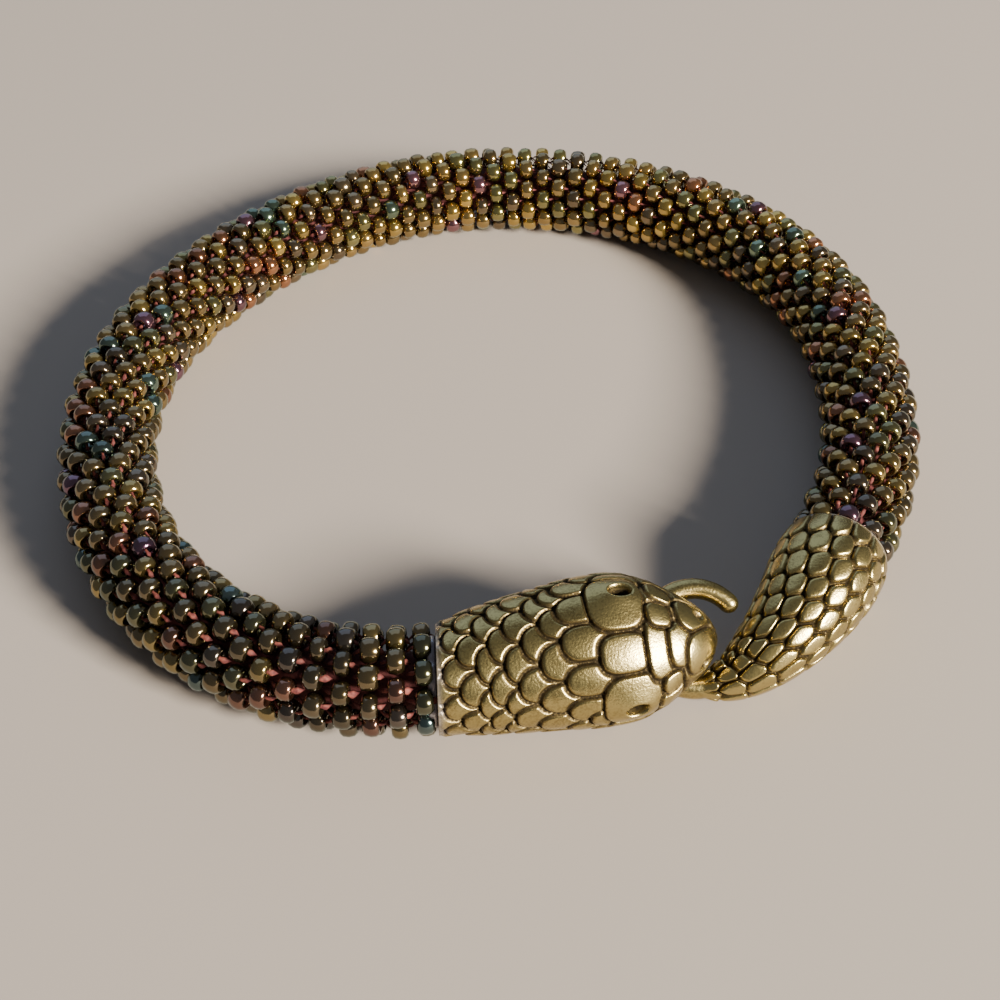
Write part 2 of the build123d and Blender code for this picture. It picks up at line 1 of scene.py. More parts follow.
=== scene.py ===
import bpy
from collections import namedtuple
from math import atan2, ceil, cos, pi, radians, sin
import numpy as np
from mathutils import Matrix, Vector


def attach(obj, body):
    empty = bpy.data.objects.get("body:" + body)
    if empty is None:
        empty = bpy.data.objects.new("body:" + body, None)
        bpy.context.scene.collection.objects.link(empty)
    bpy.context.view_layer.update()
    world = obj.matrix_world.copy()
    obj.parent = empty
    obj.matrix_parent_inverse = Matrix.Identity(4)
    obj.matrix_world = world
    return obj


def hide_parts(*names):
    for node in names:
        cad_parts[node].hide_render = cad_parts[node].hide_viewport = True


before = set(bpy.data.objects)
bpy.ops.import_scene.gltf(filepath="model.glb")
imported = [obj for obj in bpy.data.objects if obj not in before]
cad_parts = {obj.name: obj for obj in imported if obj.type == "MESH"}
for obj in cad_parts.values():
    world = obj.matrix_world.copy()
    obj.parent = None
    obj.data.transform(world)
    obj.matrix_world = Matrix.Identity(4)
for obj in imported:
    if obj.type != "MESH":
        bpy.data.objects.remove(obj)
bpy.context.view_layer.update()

# Lengths are in millimetres where nothing else is said. Constants hold angles in degrees,
# functions take and give them in radians.
MM = 0.001
UP = np.array([0, 0, 1.0])

# The sheet that the bracelet lies on

# A plain pale sheet of matt card, wide enough to fill the camera's view. It lies a hair below
# the bracelet, so that it cuts no bead or scale.
SHEET_SIZE = 2.0  # metres
SHEET_DROP = 0.03
SHEET_COLOUR = (0.345, 0.297, 0.254, 1)


def set_inputs(node, settings):
    """Sets sockets of a node, each by its name or its place."""
    for socket, value in settings.items():
        node.inputs[socket].default_value = value


def new_finish(name, settings):
    """A new material with the sockets of its own shader set, its nodes, its links and the shader."""
    material = bpy.data.materials.new(name)
    material.use_nodes = True
    tree = material.node_tree
    skin = tree.nodes["Principled BSDF"]
    set_inputs(skin, settings)
    return material, tree.nodes, tree.links, skin


def new_object(name, data):
    """An object of the scene that holds the data."""
    made = bpy.data.objects.new(name, data)
    bpy.context.scene.collection.objects.link(made)
    return made


corners = [(SHEET_SIZE * x, SHEET_SIZE * y, 0) for x, y in ((-.5, -.5), (.5, -.5), (.5, .5), (-.5, .5))]
sheet_mesh = bpy.data.meshes.new("card_sheet")
sheet_mesh.from_pydata(corners, [], [(0, 1, 2, 3)])
sheet_mesh.materials.append(new_finish("matt_card", {"Base Color": SHEET_COLOUR, "Roughness": 0.9})[0])
card_sheet = new_object("card_sheet", sheet_mesh)
card_sheet.location.z = -SHEET_DROP * MM

# The camera and the soft studio light

# A hand-held close view of the bracelet from in front of the snake's head, about 45 degrees
# down. The middle of the loop is the middle of the rope's circle, a little off the part's
# own middle because the clasp's side of the loop is flatter.
LOOP_MIDDLE = Vector((0.355, -1.324, 0))
CAMERA_STAND = Vector((0.37, -107.75, 97.3))
CAMERA_PITCH = 44.4
CAMERA_LENS = 55.1
NEAREST_SEEN = 5.0
SKY_COLOUR = (0.86, 0.91, 1.0, 1)
SKY_STRENGTH = 0.17

eye = bpy.data.cameras.new("close_view")
eye.lens = CAMERA_LENS
eye.sensor_width = 36
eye.clip_start = NEAREST_SEEN * MM
camera = new_object("close_view", eye)
camera.location = (LOOP_MIDDLE + CAMERA_STAND) * MM
camera.rotation_euler = (radians(90 - CAMERA_PITCH), 0, 0)
bpy.context.scene.camera = camera


def soft_box(name, place, size, power, colour):
    """A square studio light that faces the bracelet, its place and size in metres."""
    light = bpy.data.lights.new(name, "AREA")
    light.size = size
    light.energy = power
    light.color = colour
    lamp = new_object(name, light)
    lamp.location = place
    lamp.rotation_euler = (-Vector(place)).to_track_quat("-Z", "Y").to_euler()


soft_box("key_box", (1.05, -0.81, 0.66), size=0.36, power=104.0, colour=(1.0, 0.93, 0.82))
soft_box("back_box", (-0.15, 0.72, 0.62), size=1.10, power=3.1, colour=(0.50, 0.68, 1.0))

sky = bpy.data.worlds.new("studio")
sky.use_nodes = True
set_inputs(sky.node_tree.nodes["Background"], {"Color": SKY_COLOUR, "Strength": SKY_STRENGTH})
bpy.context.scene.world = sky

# The beaded rope

# Seed beads with a dark metallic iris finish, crocheted in one long spiral round a thread
# core. Each bead's hole runs along the rope, and every round sits in the gaps of the last.
ROPE_ROUTE = [  # guide points of its middle line from the head to the tail, 0 in the loop's middle
    (-5.3, -32.9), (-10.6, -33.2), (-17.9, -31.3), (-25.4, -26.4), (-31.6, -18.2),
    (-35.0, -7.6), (-35.2, 3.6), (-31.6, 14.4), (-25.0, 23.7), (-16.2, 31.0),
    (-5.5, 35.5), (6.4, 35.9), (17.8, 32.4), (27.5, 25.1), (33.3, 14.5),
    (34.6, 2.8), (33.8, -5.8), (31.9, -12.7), (28.9, -18.6),
]
ROPE_RADIUS = 4.5
BEAD_DIAMETER = 2.1
BEAD_LENGTH = 1.45
BEAD_HOLE = 0.80
BEADS_ROUND = 9.58
ROUND_PITCH = 1.85
END_REACH = 0.62  # past the rope's ends, into the glue
END_SQUASH = 0.85  # how far the spiral's first and last round are pulled flat
END_SETTLING = 0.8  # how much of that each further round still has
BEAD_SIDES = 20
BEAD_RING = 10  # points of a bead's section
BEAD_BOXINESS = 0.92  # 1 is a round section, less is boxier
BEAD_WAIST = 0.30  # where a bead is longest, as a share of its wall from the hole
BEAD_SIZE_SPREAD = 0.03
BEAD_LEAN = 4.0
BEAD_STRETCHES = ("beads_by_head", "beads_at_back", "beads_by_tail")
IRIS_TINTS = [  # metallic colours of single beads and how often they come
    ((0.130, 0.092, 0.038), 6), ((0.095, 0.070, 0.035), 5), ((0.180, 0.132, 0.044), 4),
    ((0.090, 0.086, 0.042), 3), ((0.070, 0.053, 0.040), 3), ((0.140, 0.062, 0.038), 2),
    ((0.050, 0.078, 0.078), 1), ((0.095, 0.044, 0.085), 1),
]
# Painted glints and reflections: the beads at the back of the loop are painted lighter and golden, as the
# light falls on them there.
PAINTED_GLINT_TINT = (3.1, 2.75, 1.6)  # the beads' colours times this at the back of the loop
PAINTED_GLINT_PLACE = 0.62  # share of the rope's length
PAINTED_GLINT_SPREAD = 0.34
BEAD_SHADES = (0.70, 1.25)  # darkest and lightest bead of a tint
IRIS_EDGE = (0.50, 0.66, 0.66, 1)
FILM_THICKNESS = (360, 540)  # nanometres
LINE_STEPS = 60  # of the rope's middle line between two of its points
WAY_STEP = 0.4  # over which its direction is measured


def rope_line(points):
    """Close points of the rope's smooth middle line."""
    curve = bpy.data.curves.new("rope_line", "CURVE")
    curve.dimensions = "3D"
    curve.resolution_u = LINE_STEPS
    spline = curve.splines.new("NURBS")
    spline.points.add(len(points) - 1)
    for knot, (x, y) in zip(spline.points, points):
        knot.co = (x + LOOP_MIDDLE.x, y + LOOP_MIDDLE.y, ROPE_RADIUS, 1)
    spline.order_u = 3
    spline.use_endpoint_u = True
    holder = bpy.data.objects.new("rope_line", curve)
    mesh = bpy.data.meshes.new_from_object(holder)
    line = np.array([vertex.co for vertex in mesh.vertices])
    bpy.data.objects.remove(holder)
    return line


line_points = rope_line(ROPE_ROUTE)
line_steps = np.linalg.norm(np.diff(line_points, axis=0), axis=1)
line_places = np.concatenate([[0], np.cumsum(line_steps)])
rope_length = line_places[-1]


def on_rope(along, turn, radius):
    """Points at a distance along the rope, a turn round it (0 at the inner side) and a radius."""
    along, turn, radius = np.broadcast_arrays(along, turn, radius)
    centre, _, across = rope_frame(along)
    out = across * np.cos(turn)[..., None] + UP * np.sin(turn)[..., None]
    return centre + radius[..., None] * out


def line_point(along):
    """Points of the rope's middle line, which stops at its ends."""
    return np.stack([np.interp(along, line_places, line_points[:, i]) for i in range(3)], -1)


def unit(vector):
    """The same direction or directions, one long."""
    return vector / np.linalg.norm(vector, axis=-1, keepdims=True)


def rope_frame(along):
    """Middle, direction and inner side of the rope at distances along it, also past its ends."""
    held = np.clip(along, 0, rope_length)
    ahead = unit(line_point(held + WAY_STEP) - line_point(held - WAY_STEP))
    across = np.stack([ahead[..., 1], -ahead[..., 0], 0 * held], -1)
    return line_point(held) + ahead * (along - held)[..., None], ahead, across


def mesh_piece(name, replaced, slot, material, points, faces, values=None):
    """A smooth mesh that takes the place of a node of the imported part, or of some of it."""
    mesh = bpy.data.meshes.new(name)
    mesh.from_pydata((np.asarray(points) * MM).tolist(), [], [tuple(face) for face in faces])
    mesh.polygons.foreach_set("use_smooth", np.ones(len(mesh.polygons), bool))
    for key, data in (values or {}).items():
        kind, field = ("FLOAT_COLOR", "color") if data.ndim == 2 else ("FLOAT", "value")
        attribute = mesh.attributes.new(key, kind, "POINT")
        attribute.data.foreach_set(field, data.astype(np.float32).ravel())
    mesh.materials.append(material)
    mesh.validate()
    piece = new_object(name, mesh)
    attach(piece, "root")
    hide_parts(replaced)


def grid_faces(rings, sides, first=0, closed=False):
    """Quads of a grid of points, closed round its sides and, if asked, also round its rings."""
    ring, side = np.meshgrid(np.arange(rings if closed else rings - 1), np.arange(sides), indexing="ij")
    a, b = ring * sides + first, (ring + 1) % rings * sides + first
    quads = np.stack([a + side, a + (side + 1) % sides, b + (side + 1) % sides, b + side], -1)
    return quads.reshape(-1, 4)


def fan_faces(pole, ring, closing):
    """Triangles from a pole to a closed row of points."""
    pairs = zip(ring, list(ring[1:]) + [ring[0]])
    return [(a, b, pole) if closing else (pole, b, a) for a, b in pairs]


def bead_shape():
    """One seed bead, hole along x: a short ring with a rounded, slightly boxy section."""
    outer, inner = BEAD_DIAMETER / 2, BEAD_HOLE / 2
    section = 2 * pi * (np.arange(BEAD_RING) + 0.5) / BEAD_RING
    flat, tall = np.cos(section), np.sin(section)
    x = BEAD_LENGTH / 2 * np.sign(flat) * np.abs(flat) ** BEAD_BOXINESS
    waist = inner + (outer - inner) * BEAD_WAIST
    r = waist + np.where(tall > 0, outer - waist, inner - waist) * np.abs(tall) ** BEAD_BOXINESS
    turn = 2 * pi * np.arange(BEAD_SIDES) / BEAD_SIDES
    points = np.stack([np.repeat(x[:, None], BEAD_SIDES, 1), r[:, None] * np.cos(turn),
                       r[:, None] * np.sin(turn)], -1)
    return points.reshape(-1, 3), grid_faces(BEAD_RING, BEAD_SIDES, closed=True)[:, ::-1]


def end_squash(rounds):
    """Share of a round by which the beads near a rope's end sit closer to that end."""
    whole = np.floor(rounds)
    return (rounds - whole) * END_SQUASH * END_SETTLING ** whole


def bead_places():
    """Distance along the rope and turn round it of every bead, from underneath at each end."""
    span = rope_length + 2 * END_REACH - BEAD_LENGTH
    rounds = round(span / ROUND_PITCH)
    number = np.arange(int(rounds * BEADS_ROUND) + 1) / BEADS_ROUND
    pitch = span / rounds
    place = number - end_squash(number) + end_squash(np.maximum(rounds - number, 0))
    return BEAD_LENGTH / 2 - END_REACH + place * pitch, -pi / 2 - 2 * pi * number


def add_node(nodes, kind, settings=None, **options):
    """A new node with its options and sockets set."""
    node = nodes.new(kind)
    for option, value in options.items():
        setattr(node, option, value)
    set_inputs(node, settings or {})
    return node


def join(links, *rows):
    """Links nodes; each row is a node, its output, the next node and its input."""
    for giver, output, taker, socket in rows:
        links.new(giver.outputs[output], taker.inputs[socket])


def iris_material():
    """Dark glass with a metallic iris coat, each bead its own tint with painted golden glints at the back of
    the loop, and a film that shimmers.
    """
    material, nodes, links, skin = new_finish("iris_glass", {
        "Metallic": 0.95, "Roughness": 0.17, "Specular Tint": IRIS_EDGE, "Thin Film IOR": 1.7,
        "Coat Weight": 0.8, "Coat Roughness": 0.06, "Coat IOR": 1.6})
    tint = add_node(nodes, "ShaderNodeAttribute", attribute_name="tint")
    thin, thick = FILM_THICKNESS
    film = add_node(nodes, "ShaderNodeMapRange", {"To Min": thin, "To Max": thick})
    join(links, (tint, "Color", skin, "Base Color"), (tint, "Alpha", film, "Value"),
         (film, "Result", skin, "Thin Film Thickness"))
    return material


dice = np.random.default_rng(11)
bead_along, bead_turn = bead_places()
bead_count = len(bead_along)
shape_points, shape_faces = bead_shape()
bead_middle = on_rope(bead_along, bead_turn, ROPE_RADIUS - BEAD_DIAMETER / 2)
_, bead_ahead, bead_across = rope_frame(bead_along)
bead_out = bead_across * np.cos(bead_turn)[:, None] + UP * np.sin(bead_turn)[:, None]
lean = radians(BEAD_LEAN)
hole_way = unit(bead_ahead
                + np.cross(bead_ahead, bead_out) * dice.normal(0, lean, bead_count)[:, None]
                + bead_out * dice.normal(0, lean, bead_count)[:, None])
bead_side = unit(np.cross(hole_way, bead_out))
bead_up = np.cross(bead_side, hole_way)
bead_size = np.minimum(1 + dice.normal(-BEAD_SIZE_SPREAD / 2, BEAD_SIZE_SPREAD, bead_count), 1.0)
bead_stretch = 1 + dice.normal(0, 2 * BEAD_SIZE_SPREAD, bead_count)
bead_tints = np.array([tint + (1.0,) for tint, _ in IRIS_TINTS])
tint_shares = np.array([share for _, share in IRIS_TINTS], float)
bead_tint_and_glint = bead_tints[dice.choice(len(IRIS_TINTS), bead_count, p=tint_shares / tint_shares.sum())]
bead_tint_and_glint[:, :3] *= dice.uniform(*BEAD_SHADES, bead_count)[:, None]
bead_tint_and_glint[:, 3] = dice.uniform(0, 1, bead_count)
# Painted highlight: beads at the back of the loop are made golden and lighter, standing in for glints and
# reflections.
painted_glint = np.exp(-((bead_along / rope_length - PAINTED_GLINT_PLACE) / PAINTED_GLINT_SPREAD) ** 2)[:, None]
bead_tint_and_glint[:, :3] *= 1 + painted_glint * (np.array(PAINTED_GLINT_TINT) - 1)

iris_glass = iris_material()
axes = np.stack([hole_way * bead_stretch[:, None], bead_side, bead_up], 1) * bead_size[:, None, None]
bead_points = bead_middle[:, None] + np.einsum("vk,nkc->nvc", shape_points, axes)
for name, numbers in zip(BEAD_STRETCHES, np.array_split(np.arange(bead_count), len(BEAD_STRETCHES))):
    offsets = np.arange(len(numbers))[:, None, None] * len(shape_points)
    mesh_piece(name, "bead_rope", "beads", iris_glass, bead_points[numbers].reshape(-1, 3),
               (shape_faces + offsets).reshape(-1, 4),
               {"tint": np.repeat(bead_tint_and_glint[numbers], len(shape_points), 0)})

# The crocheted thread

# Dusty pink beading thread. It runs through every bead and fans out beside it before it slips
# down between its neighbours, and the core under the beads is its packed stitches.
CORE_RADIUS = 2.32
STITCH_SIDES = 8
STITCH_SINK = 0.62  # size of the stitches far from the ends, where they sink in
STITCH_FADE = 24.0  # distance from the ends over which they do
STITCH_SIZES = (0.8, 1.15)
# The darker of these two colours is painted shade: the thread goes to it the deeper it lies among the beads,
# where they shade it.
THREAD_COLOUR = (0.25, 0.074, 0.053, 1)
THREAD_PAINTED_SHADE = (0.070, 0.018, 0.019, 1)
CORE_CELL = 0.35
CORE_SIDES = 40
CORE_REACH = 4.0  # past the last beads, into the sockets
STITCH_RELIEF = 0.16
STITCHES_ROUND = 5
# Painted shade: a tongue darkens with its depth under the beads.
STITCH_SHADE_DEPTH = 0.36  # depth under a bead's middle at which a tongue is as dark as the core
STITCH_SLIP = 0.05  # how far tongues stray to a side
# Painted shade: the core under the beads, and its stitches' hollows most, is painted dark.
CORE_PAINTED_LIGHT = 0.30  # lightness of the core's stitches


def thread_material():
    """Dusty pink thread with painted shade, dark down in the core and deep among the beads, its fibres
    faintly uneven.
    """
    material, nodes, links, skin = new_finish("beading_thread", {
        "Roughness": 0.70, "Specular IOR Level": 0.15})
    place = nodes.new("ShaderNodeTexCoord")
    fibres = add_node(nodes, "ShaderNodeTexNoise", {"Scale": 2600, "Detail": 2})
    # The stored lightness is painted shade, which darkens the thread by its depth among the beads.
    height = add_node(nodes, "ShaderNodeAttribute", attribute_name="height")
    uneven = add_node(nodes, "ShaderNodeMapRange", {"From Min": 0.35, "From Max": 0.65})
    painted_shade = add_node(nodes, "ShaderNodeMix", {"A": THREAD_PAINTED_SHADE, "B": THREAD_COLOUR}, data_type="RGBA")
    bump = add_node(nodes, "ShaderNodeBump", {"Distance": 0.05 * MM, "Strength": 0.8})
    join(links, (place, "Object", fibres, "Vector"), (fibres, "Fac", uneven, "Value"),
         (height, "Fac", uneven, "To Max"), (uneven, "Result", painted_shade, "Factor"),
         (fibres, "Fac", bump, "Height"), (painted_shade, "Result", skin, "Base Color"),
         (bump, "Normal", skin, "Normal"))
    return material


def stitches():
    """A flat tongue of thread through each bead's hole, fanned out on the side of the head."""
    bead_radius = ROPE_RADIUS - BEAD_DIAMETER / 2
    face = BEAD_LENGTH / 2
    rings = np.array([  # towards the head, out from the hole, half width and half height
        (-face - 0.62, -0.55, 0.02, 0.02), (-face - 0.45, -0.42, 0.16, 0.12),
        (-face - 0.12, -0.10, 0.20, 0.15), (-face + 0.15, 0.00, 0.17, 0.17),
        (face - 0.15, 0.00, 0.20, 0.17), (face + 0.02, -0.03, 0.31, 0.15),
        (face + 0.16, -0.09, 0.29, 0.15), (face + 0.30, -0.22, 0.19, 0.12),
        (face + 0.42, -0.42, 0.08, 0.07), (face + 0.48, -0.55, 0.01, 0.01),
    ])
    turn = 2 * pi * (np.arange(STITCH_SIDES) + 0.5) / STITCH_SIDES
    end_distance = np.minimum(bead_along, rope_length - bead_along)
    plump = STITCH_SINK + (1 - STITCH_SINK) * np.exp(-(end_distance / STITCH_FADE) ** 2)
    plump = (plump * dice.uniform(*STITCH_SIZES, bead_count))[:, None, None]
    in_hole = np.clip(rings[:, None, 0], -face, face)
    past = rings[:, None, 0] - in_hole
    wide = rings[:, None, 2] * np.cos(turn) * plump
    wide = wide + dice.normal(0, STITCH_SLIP, (bead_count, 1, 1)) * (past > 0)
    out = rings[:, None, 1] * plump + rings[:, None, 3] * np.sin(turn) * plump
    along = bead_along[:, None, None] - in_hole - past * plump
    radius = bead_radius + out
    around = bead_turn[:, None, None] + wide / bead_radius
    # Painted shade: each tongue's lightness falls with its depth under the beads and with how far it sinks
    # in.
    height = np.clip(1 + rings[:, 1] / STITCH_SHADE_DEPTH, 0, 1)[:, None] * plump + 0 * wide
    points = on_rope(along, around, radius)
    offsets = np.arange(bead_count)[:, None, None] * len(rings) * STITCH_SIDES
    faces = grid_faces(len(rings), STITCH_SIDES)[:, ::-1] + offsets
    return points.reshape(-1, 3), faces.reshape(-1, 4), {"height": height.ravel()}


beading_thread = thread_material()
mesh_piece("bead_stitches", "thread_core", "thread", beading_thread, *stitches())

core_rows = ceil((rope_length + 2 * CORE_REACH) / CORE_CELL)
core_ends = np.array([-CORE_REACH, rope_length + CORE_REACH])
core_along = np.linspace(*core_ends, core_rows)[:, None]
core_turn = 2 * pi * np.arange(CORE_SIDES) / CORE_SIDES
stitch = (np.sin(core_turn * STITCHES_ROUND + core_along * 2 * pi / ROUND_PITCH)
          * np.sin(core_turn * STITCHES_ROUND - core_along * 2 * pi / ROUND_PITCH))
core_points = on_rope(core_along, core_turn, CORE_RADIUS - STITCH_RELIEF * (0.5 + 0.5 * stitch))
core_points = np.concatenate([core_points.reshape(-1, 3), on_rope(core_ends, 0, 0)])
poles = core_rows * CORE_SIDES
core_faces = (grid_faces(core_rows, CORE_SIDES).tolist()
              + fan_faces(poles, range(CORE_SIDES), False)
              + fan_faces(poles + 1, range(poles - CORE_SIDES, poles), True))
# Painted shade: the core is dark under the beads and darkest in its stitches' hollows.
core_light_and_shade = np.concatenate([CORE_PAINTED_LIGHT * (0.5 - 0.5 * stitch).ravel(), [0, 0]])
mesh_piece("crocheted_core", "thread_core", "thread", beading_thread, core_points, core_faces,
           {"height": core_light_and_shade})

# The cast snake's head

# Antique brass, cast hollow at the neck: rings of overlapping scales, plates on the crown,
# pits for the eyes and nostrils, and a mouth open from side to side behind a solid lip.
# The worn tops are bright and the hollows between the scales keep their dark patina.
FIT_GAP = 0.05
GLUE_LINE = 0.7
CUP_RADIUS = 4.3
SOCKET_RADIUS = 2.85
SOCKET_DEPTH = 4.0
HEAD_LENGTH = 22.2
HEAD_WIDTH = 11.6
HEAD_RISE = 4.5  # crown above the axis
HEAD_DROP = 4.1  # jaw below the axis
HEAD_BOW = 0.3
HEAD_TURN = 6.0  # from the rope's end direction, towards the loop's inside
HEAD_PITCH = 2.8
HEAD_ROLL = 42.0  # crown leaned out of the loop
HEAD_SQUARENESS = 0.93
NECK_LENGTH = 3.0
MOUTH_DROP = 1.5
MOUTH_GAP = 2.7
LIP_LENGTH = 1.5
MOUTH_CLEARANCE = 0.45
HOOK_RADIUS = 3.9
HOOK_BACK = 1.5
SHANK_DIAMETER = 1.9
SCALE_RELIEF = 0.22
GROOVE_DEPTH = 0.26
GROOVE_WIDTH = 0.24
SCALE_BED = 0.09  # skin that shows between the scales
SCALE_SHARE = 0.42  # half width of a scale over the spacing in its ring
EYE_DEPTH = 0.75
EYE_RIM = (0.45, 1.15)  # where an eye pit's wall starts and ends, 1 at its outline
EYE_CLEAR = 1.9  # reach round an eye that is free of grooves
BED_PATINA = 0.35  # darkness of the skin between the scales, where a groove's is 1
PATINA_WIDTH = 0.145  # half width of the dark line round a scale
BROW_HEIGHT = 0.35
BROW_SPREAD = 2.3
NOSTRIL_DEPTH = 0.4
NOSTRIL_RIM = (0.5, 1.5)
SNOUT_START = 0.78
SNOUT_POINT = (1.10, 0.50)  # powers of its outline from above
SNOUT_BLUNTNESS = (2.6, 0.55)  # and from the side
HEAD_CELL = 0.08
TIP_STEPS = (0.25, 0.16, 0.09, 0.04, 0.012)  # last rows before the snout's tip
CROWN_COLUMNS = 232
JAW_COLUMNS = 40
SLOT_COLUMNS = 10
THROAT_STEPS = 30
GLUE_SMEAR = 0.38  # dried glue on the cup's rim
PLAIN_WEAR = 0.30  # of the mouth's and socket's walls
HEAD_WEAR = 0.62
# Partly real wear and partly a painted highlight: the snout is painted lighter.
SNOUT_WEAR_AND_HIGHLIGHT = 0.14  # added where the snout is rubbed most
HEAD_CONTRAST = 0.38  # wear added on the tops and taken in the hollows
HeadSection = namedtuple("HeadSection", "along width rise drop")
HEAD_SECTIONS = [HeadSection(*row) for row in (
    (0.00, 0.72, 0.94, 0.97), (0.05, 0.77, 0.95, 0.98), (0.23, 0.87, 0.96, 0.97),
    (0.40, 0.95, 0.98, 0.96), (0.53, 1.00, 1.00, 0.97), (0.63, 1.00, 0.98, 1.00),
    (0.71, 0.96, 0.93, 1.00), (0.79, 0.84, 0.84, 0.97), (1.00, 0.73, 0.66, 0.90),
)]
ScaleRing = namedtuple("ScaleRing", "along count turn lean")
HEAD_RINGS = [ScaleRing(*row) for row in (
    (0.035, 10, 26, 0.00), (0.077, 10, 5, 0.00), (0.135, 10, 22, 0.00), (0.189, 10, 6, 0.01),
    (0.236, 10, 20, 0.02), (0.297, 11, 1, 0.02), (0.358, 11, 15, 0.05), (0.433, 12, -2, 0.03),
    (0.508, 13, 9, 0.00), (0.580, 13, 23, 0.00), (0.655, 13, 9, 0.00),
)]
CROWN_START = 0.54  # share of the length from which plates cover the crown
RING_STOP = 55.0  # turn from the crown at which the rings end there
Plate = namedtuple("Plate", "along turn length width")
HEAD_PLATES = [Plate(*row) for row in (
    (0.634, 39, 0.102, 0.200), (0.652, -44, 0.108, 0.195), (0.642, -3, 0.094, 0.112),
    (0.795, 54, 0.050, 0.090), (0.795, -58, 0.050, 0.090), (0.768, -3, 0.056, 0.196),
    (0.846, -3, 0.054, 0.150), (0.778, 26, 0.047, 0.084), (0.800, -38, 0.042, 0.074),
    (0.904, 34, 0.066, 0.125), (0.922, -22, 0.068, 0.155),
)]
CROWN_TURN = -2.0
PLATE_ROUNDNESS = 2.9  # 2 is an ellipse, more is boxier
EYE_PLACE = Plate(0.660, 49, 0.041, 0.047)
NOSTRIL_PLACE = Plate(0.925, 42, 0.014, 0.026)


def ease(low, high, value):
    """0 below low and 1 above high, smooth in between."""
    x = np.clip((value - low) / (high - low), 0, 1)
    return x * x * (3 - 2 * x)


def smooth_column(rows, column, share):
    """A column of a table of sections at any share of the length, smooth between rows."""
    places = np.array([row.along for row in rows])
    values = np.array([getattr(row, column) for row in rows])
    slopes = np.gradient(values) / np.gradient(places)
    k = np.clip(np.searchsorted(places, share, side="right") - 1, 0, len(rows) - 2)
    span = places[k + 1] - places[k]
    x = (np.clip(share, places[0], places[-1]) - places[k]) / span
    return ((2 * x**3 - 3 * x**2 + 1) * values[k] + (x**3 - 2 * x**2 + x) * slopes[k] * span
            + (3 * x**2 - 2 * x**3) * values[k + 1] + (x**3 - x**2) * slopes[k + 1] * span)


def route_end(inner, outer):
    """The rope's end point and the direction in which it runs out there."""
    start, end = np.array(inner + (0.0,)), np.array(outer + (ROPE_RADIUS,))
    direction = unit((end - start) * [1, 1, 0])
    return end + np.array(LOOP_MIDDLE), direction


head_joint, head_end = route_end(ROPE_ROUTE[1], ROPE_ROUTE[0])
head_mouth = head_joint + head_end * (GLUE_LINE + 2 * FIT_GAP)
head_heading = atan2(head_end[1], head_end[0]) + radians(HEAD_TURN)
head_axis = np.array([cos(head_heading) * cos(radians(HEAD_PITCH)),
                      sin(head_heading) * cos(radians(HEAD_PITCH)), sin(radians(HEAD_PITCH))])


def leaned_ways(axis):
    """Across, to the inner side, and up, to the crown, of the head's section planes."""
    level = unit(np.cross(UP, axis))
    above = np.cross(axis, level)
    lean = radians(HEAD_ROLL)
    return level * cos(lean) + above * sin(lean), above * cos(lean) - level * sin(lean)


def head_frames(along):
    """Middles and ways of the section planes at distances from the cup's mouth."""
    turned = ease(0, NECK_LENGTH, along)[:, None]
    across, up = leaned_ways(unit(head_end * (1 - turned) + head_axis * turned))
    bow = HEAD_BOW * np.sin(pi * along / HEAD_LENGTH)[:, None]
    return head_mouth + head_axis * along[:, None] + across * bow, across, up


def head_half_sizes(along):
    """Half width, rise and drop of the head at distances from the cup's mouth."""
    share = along / HEAD_LENGTH
    settled = ease(0, NECK_LENGTH, along)
    closing = np.maximum(0, (share - SNOUT_START) / (1 - SNOUT_START))
    plan = np.maximum(0, 1 - closing ** SNOUT_POINT[0]) ** SNOUT_POINT[1]
    profile = np.maximum(0, 1 - closing ** SNOUT_BLUNTNESS[0]) ** SNOUT_BLUNTNESS[1]
    sizes = []
    for name, size, close in (("width", HEAD_WIDTH / 2, plan), ("rise", HEAD_RISE, profile),
                              ("drop", HEAD_DROP, profile)):
        grown = smooth_column(HEAD_SECTIONS, name, share) * size
        sizes.append((CUP_RADIUS * (1 - settled) + grown * settled) * close)
    return sizes


def head_skin(along, turn):
    """Points of the smooth head, a row for each distance, turn 0 at the inner side."""
    width, rise, drop = head_half_sizes(along)
    boxy = (1 - (1 - HEAD_SQUARENESS) * ease(0, NECK_LENGTH, along))[:, None]
    flat, tall = np.cos(turn), np.sin(turn)
    height = np.where(tall > 0, rise[:, None], drop[:, None])
    out = width[:, None] * np.abs(flat) ** boxy * np.sign(flat)
    high = height * np.abs(tall) ** boxy * np.sign(tall)
    middle, across, up = head_frames(along)
    return middle[:, None] + across[:, None] * out[..., None] + up[:, None] * high[..., None]


mouth_radius = SHANK_DIAMETER / 2 + MOUTH_CLEARANCE
hook_along = HEAD_LENGTH - HOOK_BACK
mouth_back = hook_along - HOOK_RADIUS - mouth_radius
mouth_front = HEAD_LENGTH - LIP_LENGTH
hook_across, hook_up = leaned_ways(head_axis)
hook_centre = head_mouth + head_axis * hook_along - hook_up * MOUTH_DROP


def slot_turns(along):
    """Turns below the side at which the mouth's upper and lower edge run."""
    drop = np.maximum(head_half_sizes(along)[2], 0.01)
    middle = (2 * along - mouth_back - mouth_front) / (mouth_front - mouth_back)
    rounding = np.maximum(0, 1 - np.abs(middle) ** 6) ** 0.5
    half = MOUTH_GAP / 2 * (0.35 + 0.65 * rounding)
    upper = np.minimum((MOUTH_DROP - half) / drop, 0.40)
    lower = np.minimum((MOUTH_DROP + half) / drop, 0.85)
    return [np.arcsin(np.maximum(edge, 0.02) ** (1 / HEAD_SQUARENESS)) for edge in (upper, lower)]


